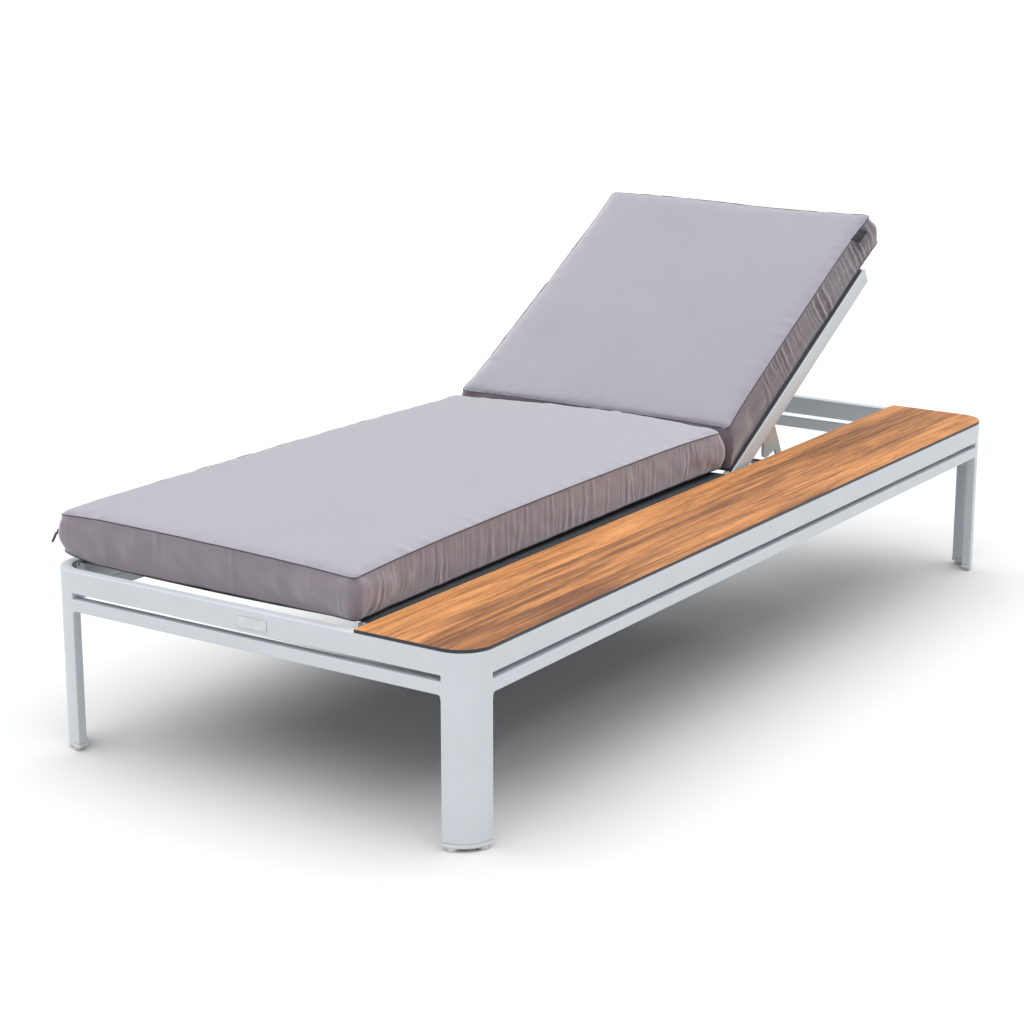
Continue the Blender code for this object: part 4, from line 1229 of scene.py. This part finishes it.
def plate(name, centre, across, up, width, height, radius, profile, finish):
    """A rounded plate: its outline at each (inset, depth) of the profile, stacked outwards. Each corner
    is centre + (radius - inset) * (cos t, sin t)."""
    across, up = np.array(across, float), np.array(up, float)
    out = np.cross(across, up)
    rings = []
    for inset, depth in profile:
        ring = []
        for turn, (right, top) in enumerate(((1, 1), (-1, 1), (-1, -1), (1, -1))):
            angle = (turn + np.arange(7) / 6) * math.pi / 2
            x = right * (width / 2 - radius) + (radius - inset) * np.cos(angle)
            y = top * (height / 2 - radius) + (radius - inset) * np.sin(angle)
            ring.append(x[:, None] * across + y[:, None] * up)
        rings.append(np.concatenate(ring) + np.array(centre) + depth * out)
    rings = np.stack(rings)
    count = rings.shape[1]
    faces = with_ends(grid_faces(len(rings), count, False, True), len(rings), count)
    made = add_piece(name, rings, faces, finish)
    even_shading(made)
    return made


def make_zip(path, look):
    """A zip along the cushion's side: its coil, and at the foot end a slider, whose pull hangs 30
    degrees out from the cover."""
    finish = plastic("zip_plastic", shade(look.thread, 2.2), 0.45)
    points, faces = tube_along(path, radius=0.0018, squash=0.8)
    coil = add_piece("zip_coil", points, faces, finish)
    turn_outward(coil)
    towards_foot = (0, -1, 0)
    hang = math.radians(30)
    slider = plate("zip_slider", path[0] + (-0.0004, 0, 0), towards_foot, (0, 0, 1), width=0.011,
                   height=0.009, radius=0.003, profile=((0, 0), (0, 0.002), (0.0008, 0.0028)),
                   finish=finish)
    pull = plate("zip_pull", path[0] + (-0.0095, -0.004, -0.0115), towards_foot,
                 (math.sin(hang), 0, math.cos(hang)), width=0.006, height=0.024, radius=0.0025,
                 profile=((0, 0), (0, 0.0012), (0.0006, 0.0018)), finish=finish)
    return coil, slider, pull


def make_tag(cushion, path, look):
    """A blank folded tag in the upper seam: a flat loop, out * (1 - t) from the fold back to the seam,
    that droops by the square of its reach."""
    middle, half_length, out, tucked = 0.698, 0.021, 0.016, 0.003
    half_thickness, fold, sinking = 0.0007, 0.0008, 0.006
    along = middle + np.linspace(-half_length, half_length, 13)
    right = path[path[:, 0] > 0]
    right = right[np.argsort(right[:, 1])]
    edge = np.interp(along, right[:, 1], right[:, 0])
    height = np.interp(along, right[:, 1], right[:, 2])
    one_side = np.linspace(-tucked, out, 8)
    reach = np.concatenate([one_side, [out + fold], one_side[::-1]])
    half = np.concatenate([np.full(8, half_thickness), [0], np.full(8, -half_thickness)])
    droop = sinking * (np.clip(reach, 0, None) / out) ** 2
    wave = 0.0006 * np.sin(along * 130)
    x = edge[:, None] + reach[None, :]
    normal = height[:, None] + 0.0005 + half - droop + wave[:, None] * (reach / out)
    points = deck_point(x + cushion.centre, along[:, None], normal, cushion.angle)
    faces = with_ends(grid_faces(len(along), len(reach), False, True), len(along), len(reach))
    cloth = woven("tag_weave", look.tag, look.yarn, contrast=0.1, depth=0.0001, sheen=0.1)
    flat = np.stack(np.broadcast_arrays(reach[None, :], along[:, None]), -1).reshape(-1, 2)
    corners = [corner for face in faces for corner in face]
    tag = add_piece("blank_tag", points, faces, cloth, uv=flat[corners])
    turn_outward(tag)
    return tag


class LOUNGER_OT_badge(Operator):
    """Blank metal badge on the foot rail"""

    bl_idname = "lounger.badge"
    bl_label = "Blank badge"

    def execute(self, context):
        look = context.scene.lounger.metal
        finish = brushed("badge_metal", look.badge, (40, 900, 900), 0.3)
        off_middle = 0.0135
        below_middle = 0.003
        height = (UPPER_LOW[2] + UPPER_HIGH[2]) / 2 - below_middle
        profile = ((0, -0.0002), (0, 0.0009), (0.0004, 0.0013), (0.0016, 0.0013), (0.002, 0.0009))
        badge = plate("blank_badge", (off_middle, -HALF_LENGTH, height), (1, 0, 0), (0, 0, 1),
                      width=0.062, height=0.020, radius=0.003, profile=profile, finish=finish)
        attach(badge, BASE)
        return {"FINISHED"}


def zip_path(cushion, piece, corner=0.016, rear=0.085, spacing=0.01, window=25):
    """The zip's line along the middle of the left band: a running mean of the cover's points there,
    read off at even stations."""
    points = read_points(piece.data)
    rise = read_rise(piece.data)
    side = points[(np.abs(rise - 0.5) < 0.12) & (points[:, 0] < 0.03 - cushion.half)
                  & (points[:, 1] > cushion.start + 0.03) & (points[:, 1] < cushion.end - 0.08)]
    side = side[np.argsort(side[:, 1])]
    stations = np.arange(cushion.start + corner, cushion.end - rear, spacing)
    whole = slice(window // 2, -(window // 2))
    across, height = (np.interp(stations, side[whole, 1],
                                np.convolve(side[:, axis], np.full(window, 1 / window), "same")[whole])
                      for axis in (0, 2))
    return to_world(cushion, np.stack([across - 0.0004, stations, height], 1))


class LOUNGER_OT_seat_cushion(Operator):
    """Seat cushion: a sewn box cover blown up over its filling"""

    bl_idname = "lounger.seat_cushion"
    bl_label = "Seat cushion"

    def execute(self, context):
        look = context.scene.lounger.cloth
        # The second finish is the band's darker copy of the cloth: painted shade on the cushion's sides.
        cloth = [woven("cushion_weave", look.cloth, look.yarn),
                 woven("cushion_band_weave", look.seat_band_painted_shade, look.yarn)]
        thread = woven("seam_thread", look.thread, look.yarn, contrast=0.1, sheen=0.3)
        cushion = seat_form()
        ends = (0.03, 0.03)
        sides = ((0.019, 0.46, 0.007, 0.35, ends), (0.02, 0.4, 0.0, 0.5, ends),
                 (0.019, 0.46, -0.007, 0.35, ends), (0.05, 0.26, 0.0, 0.5, ends))
        piece = fill_cushion(cushion, look, cloth, sides)
        for each in make_zip(zip_path(cushion, piece), look):
            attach(each, BASE)
        for tube in finish_cushion(cushion, piece, "seat_cushion", thread):
            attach(tube, BASE)
        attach(piece, BASE)
        return {"FINISHED"}


class LOUNGER_OT_back_cushion(Operator):
    """Back cushion: bends at the hinge, so that its lower end stays against the seat cushion"""

    bl_idname = "lounger.back_cushion"
    bl_label = "Back cushion"

    def execute(self, context):
        look = context.scene.lounger.cloth
        # The second finish is the band's darker copy of the cloth: painted shade on the sides, darker than
        # the seat's.
        cloth = [woven("back_cushion_weave", look.cloth, look.yarn),
                 woven("back_cushion_band_weave", look.back_band_painted_shade, look.yarn, sheen=0.75)]
        thread = woven("back_seam_thread", look.thread, look.yarn, contrast=0.1, sheen=0.3)
        cushion = back_form()
        sides = ((0.017, 0.85, -0.008, 0.75, (0.20, 0.03)), (0.03, 0.6, 0.0, 0.5, (0.03, 0.03)),
                 (0.017, 0.8, 0.008, 0.75, (0.03, 0.20)), (0.05, 0.2, 0.0, 0.5, (0.03, 0.03)))
        piece = fill_cushion(cushion, look, cloth, sides)
        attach(make_tag(cushion, seam_path(cushion, piece, 1), look), BACKREST)
        tubes = finish_cushion(cushion, piece, "back_cushion", thread)
        before_hinge = 0.006
        bend = 0.036
        face = float(HINGE[1]) - before_hinge
        for each in [piece] + tubes:
            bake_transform(each, BASE, BACKREST, (DECK_CENTRE, face, FRAME_TOP),
                     (DECK_CENTRE, face + bend, FRAME_TOP))
        return {"FINISHED"}


class LOUNGER_OT_stage(Operator):
    """Pale floor, soft studio light and the camera"""

    bl_idname = "lounger.stage"
    bl_label = "Stage"

    def execute(self, context):
        look = context.scene.lounger.studio
        scene = context.scene
        reach = 160.0
        corners = [(-reach, -reach, 0), (reach, -reach, 0), (reach, reach, 0), (-reach, reach, 0)]
        ground = Finish("studio_floor", look.floor, 0.9, specular=0.0)
        clouds = ground.noise(ground.place(), scale=0.8)
        ground.set("Base Color", ground.ramp(clouds, [(0.3, shade(look.floor, 0.995)), (0.7, look.floor)]))
        floor = add_piece("studio_floor", corners, [[0, 1, 2, 3]], ground.material)
        scene.world = self.backdrop(look.sky)
        self.broad_light("overhead", tilt=3, turn=-30, spread=105, strength=look.overhead)
        camera_data = bpy.data.cameras.new("camera")
        camera_data.lens = look.lens
        camera_data.sensor_width = 36
        camera_data.clip_end = 500
        camera = bpy.data.objects.new("camera", camera_data)
        camera.location = look.camera
        camera.rotation_euler = (math.pi / 2 - look.pitch, 0, look.turn)
        scene.collection.objects.link(camera)
        scene.camera = camera
        scene.view_settings.view_transform = "Standard"
        return {"FINISHED"}

    def backdrop(self, sky):
        """Even light from all round, which the camera itself sees as white paper."""
        white = 1.06
        world = bpy.data.worlds.new("studio")
        world.use_nodes = True
        background = world.node_tree.nodes["Background"]
        background.inputs["Color"].default_value = (0.96, 0.98, 1.0, 1)
        nodes, links = world.node_tree.nodes, world.node_tree.links
        rays = nodes.new("ShaderNodeLightPath")
        strength = nodes.new("ShaderNodeMath")
        strength.operation = "MULTIPLY_ADD"
        strength.inputs[1].default_value = white - sky
        strength.inputs[2].default_value = sky
        links.new(rays.outputs["Is Camera Ray"], strength.inputs[0])
        links.new(strength.outputs["Value"], background.inputs["Strength"])
        return world

    def broad_light(self, name, tilt, turn, spread, strength):
        """A far light as wide as spread, tilted from the vertical and turned, all in degrees."""
        data = bpy.data.lights.new(name, "SUN")
        data.angle = math.radians(spread)
        data.energy = strength
        lamp = bpy.data.objects.new(name, data)
        lamp.location = (0, 0, 4)
        lamp.rotation_euler = (math.radians(tilt), 0, math.radians(turn))
        bpy.context.scene.collection.objects.link(lamp)


class LOUNGER_PT_panel(Panel):
    """The lounger's steps"""

    bl_idname = "LOUNGER_PT_panel"
    bl_label = "Sun lounger"
    bl_space_type = "VIEW_3D"
    bl_region_type = "UI"
    bl_category = "Lounger"

    def draw(self, context):
        for step in STEPS:
            self.layout.operator(step.bl_idname)


STEPS = (LOUNGER_OT_frame, LOUNGER_OT_fittings, LOUNGER_OT_badge, LOUNGER_OT_shelf, LOUNGER_OT_slings,
         LOUNGER_OT_seat_cushion, LOUNGER_OT_back_cushion, LOUNGER_OT_stage)
CLASSES = (LoungerMetal, LoungerShelf, LoungerCloth, LoungerStudio, LoungerLook, *STEPS, LOUNGER_PT_panel)


def register():
    for each in CLASSES:
        bpy.utils.register_class(each)
    bpy.types.Scene.lounger = PointerProperty(type=LoungerLook)


def unregister():
    del bpy.types.Scene.lounger
    for each in reversed(CLASSES):
        bpy.utils.unregister_class(each)


def main():
    """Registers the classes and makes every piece."""
    register()
    for step in STEPS:
        group, name = step.bl_idname.split(".")
        getattr(getattr(bpy.ops, group), name)()


if __name__ == "__main__":
    main()
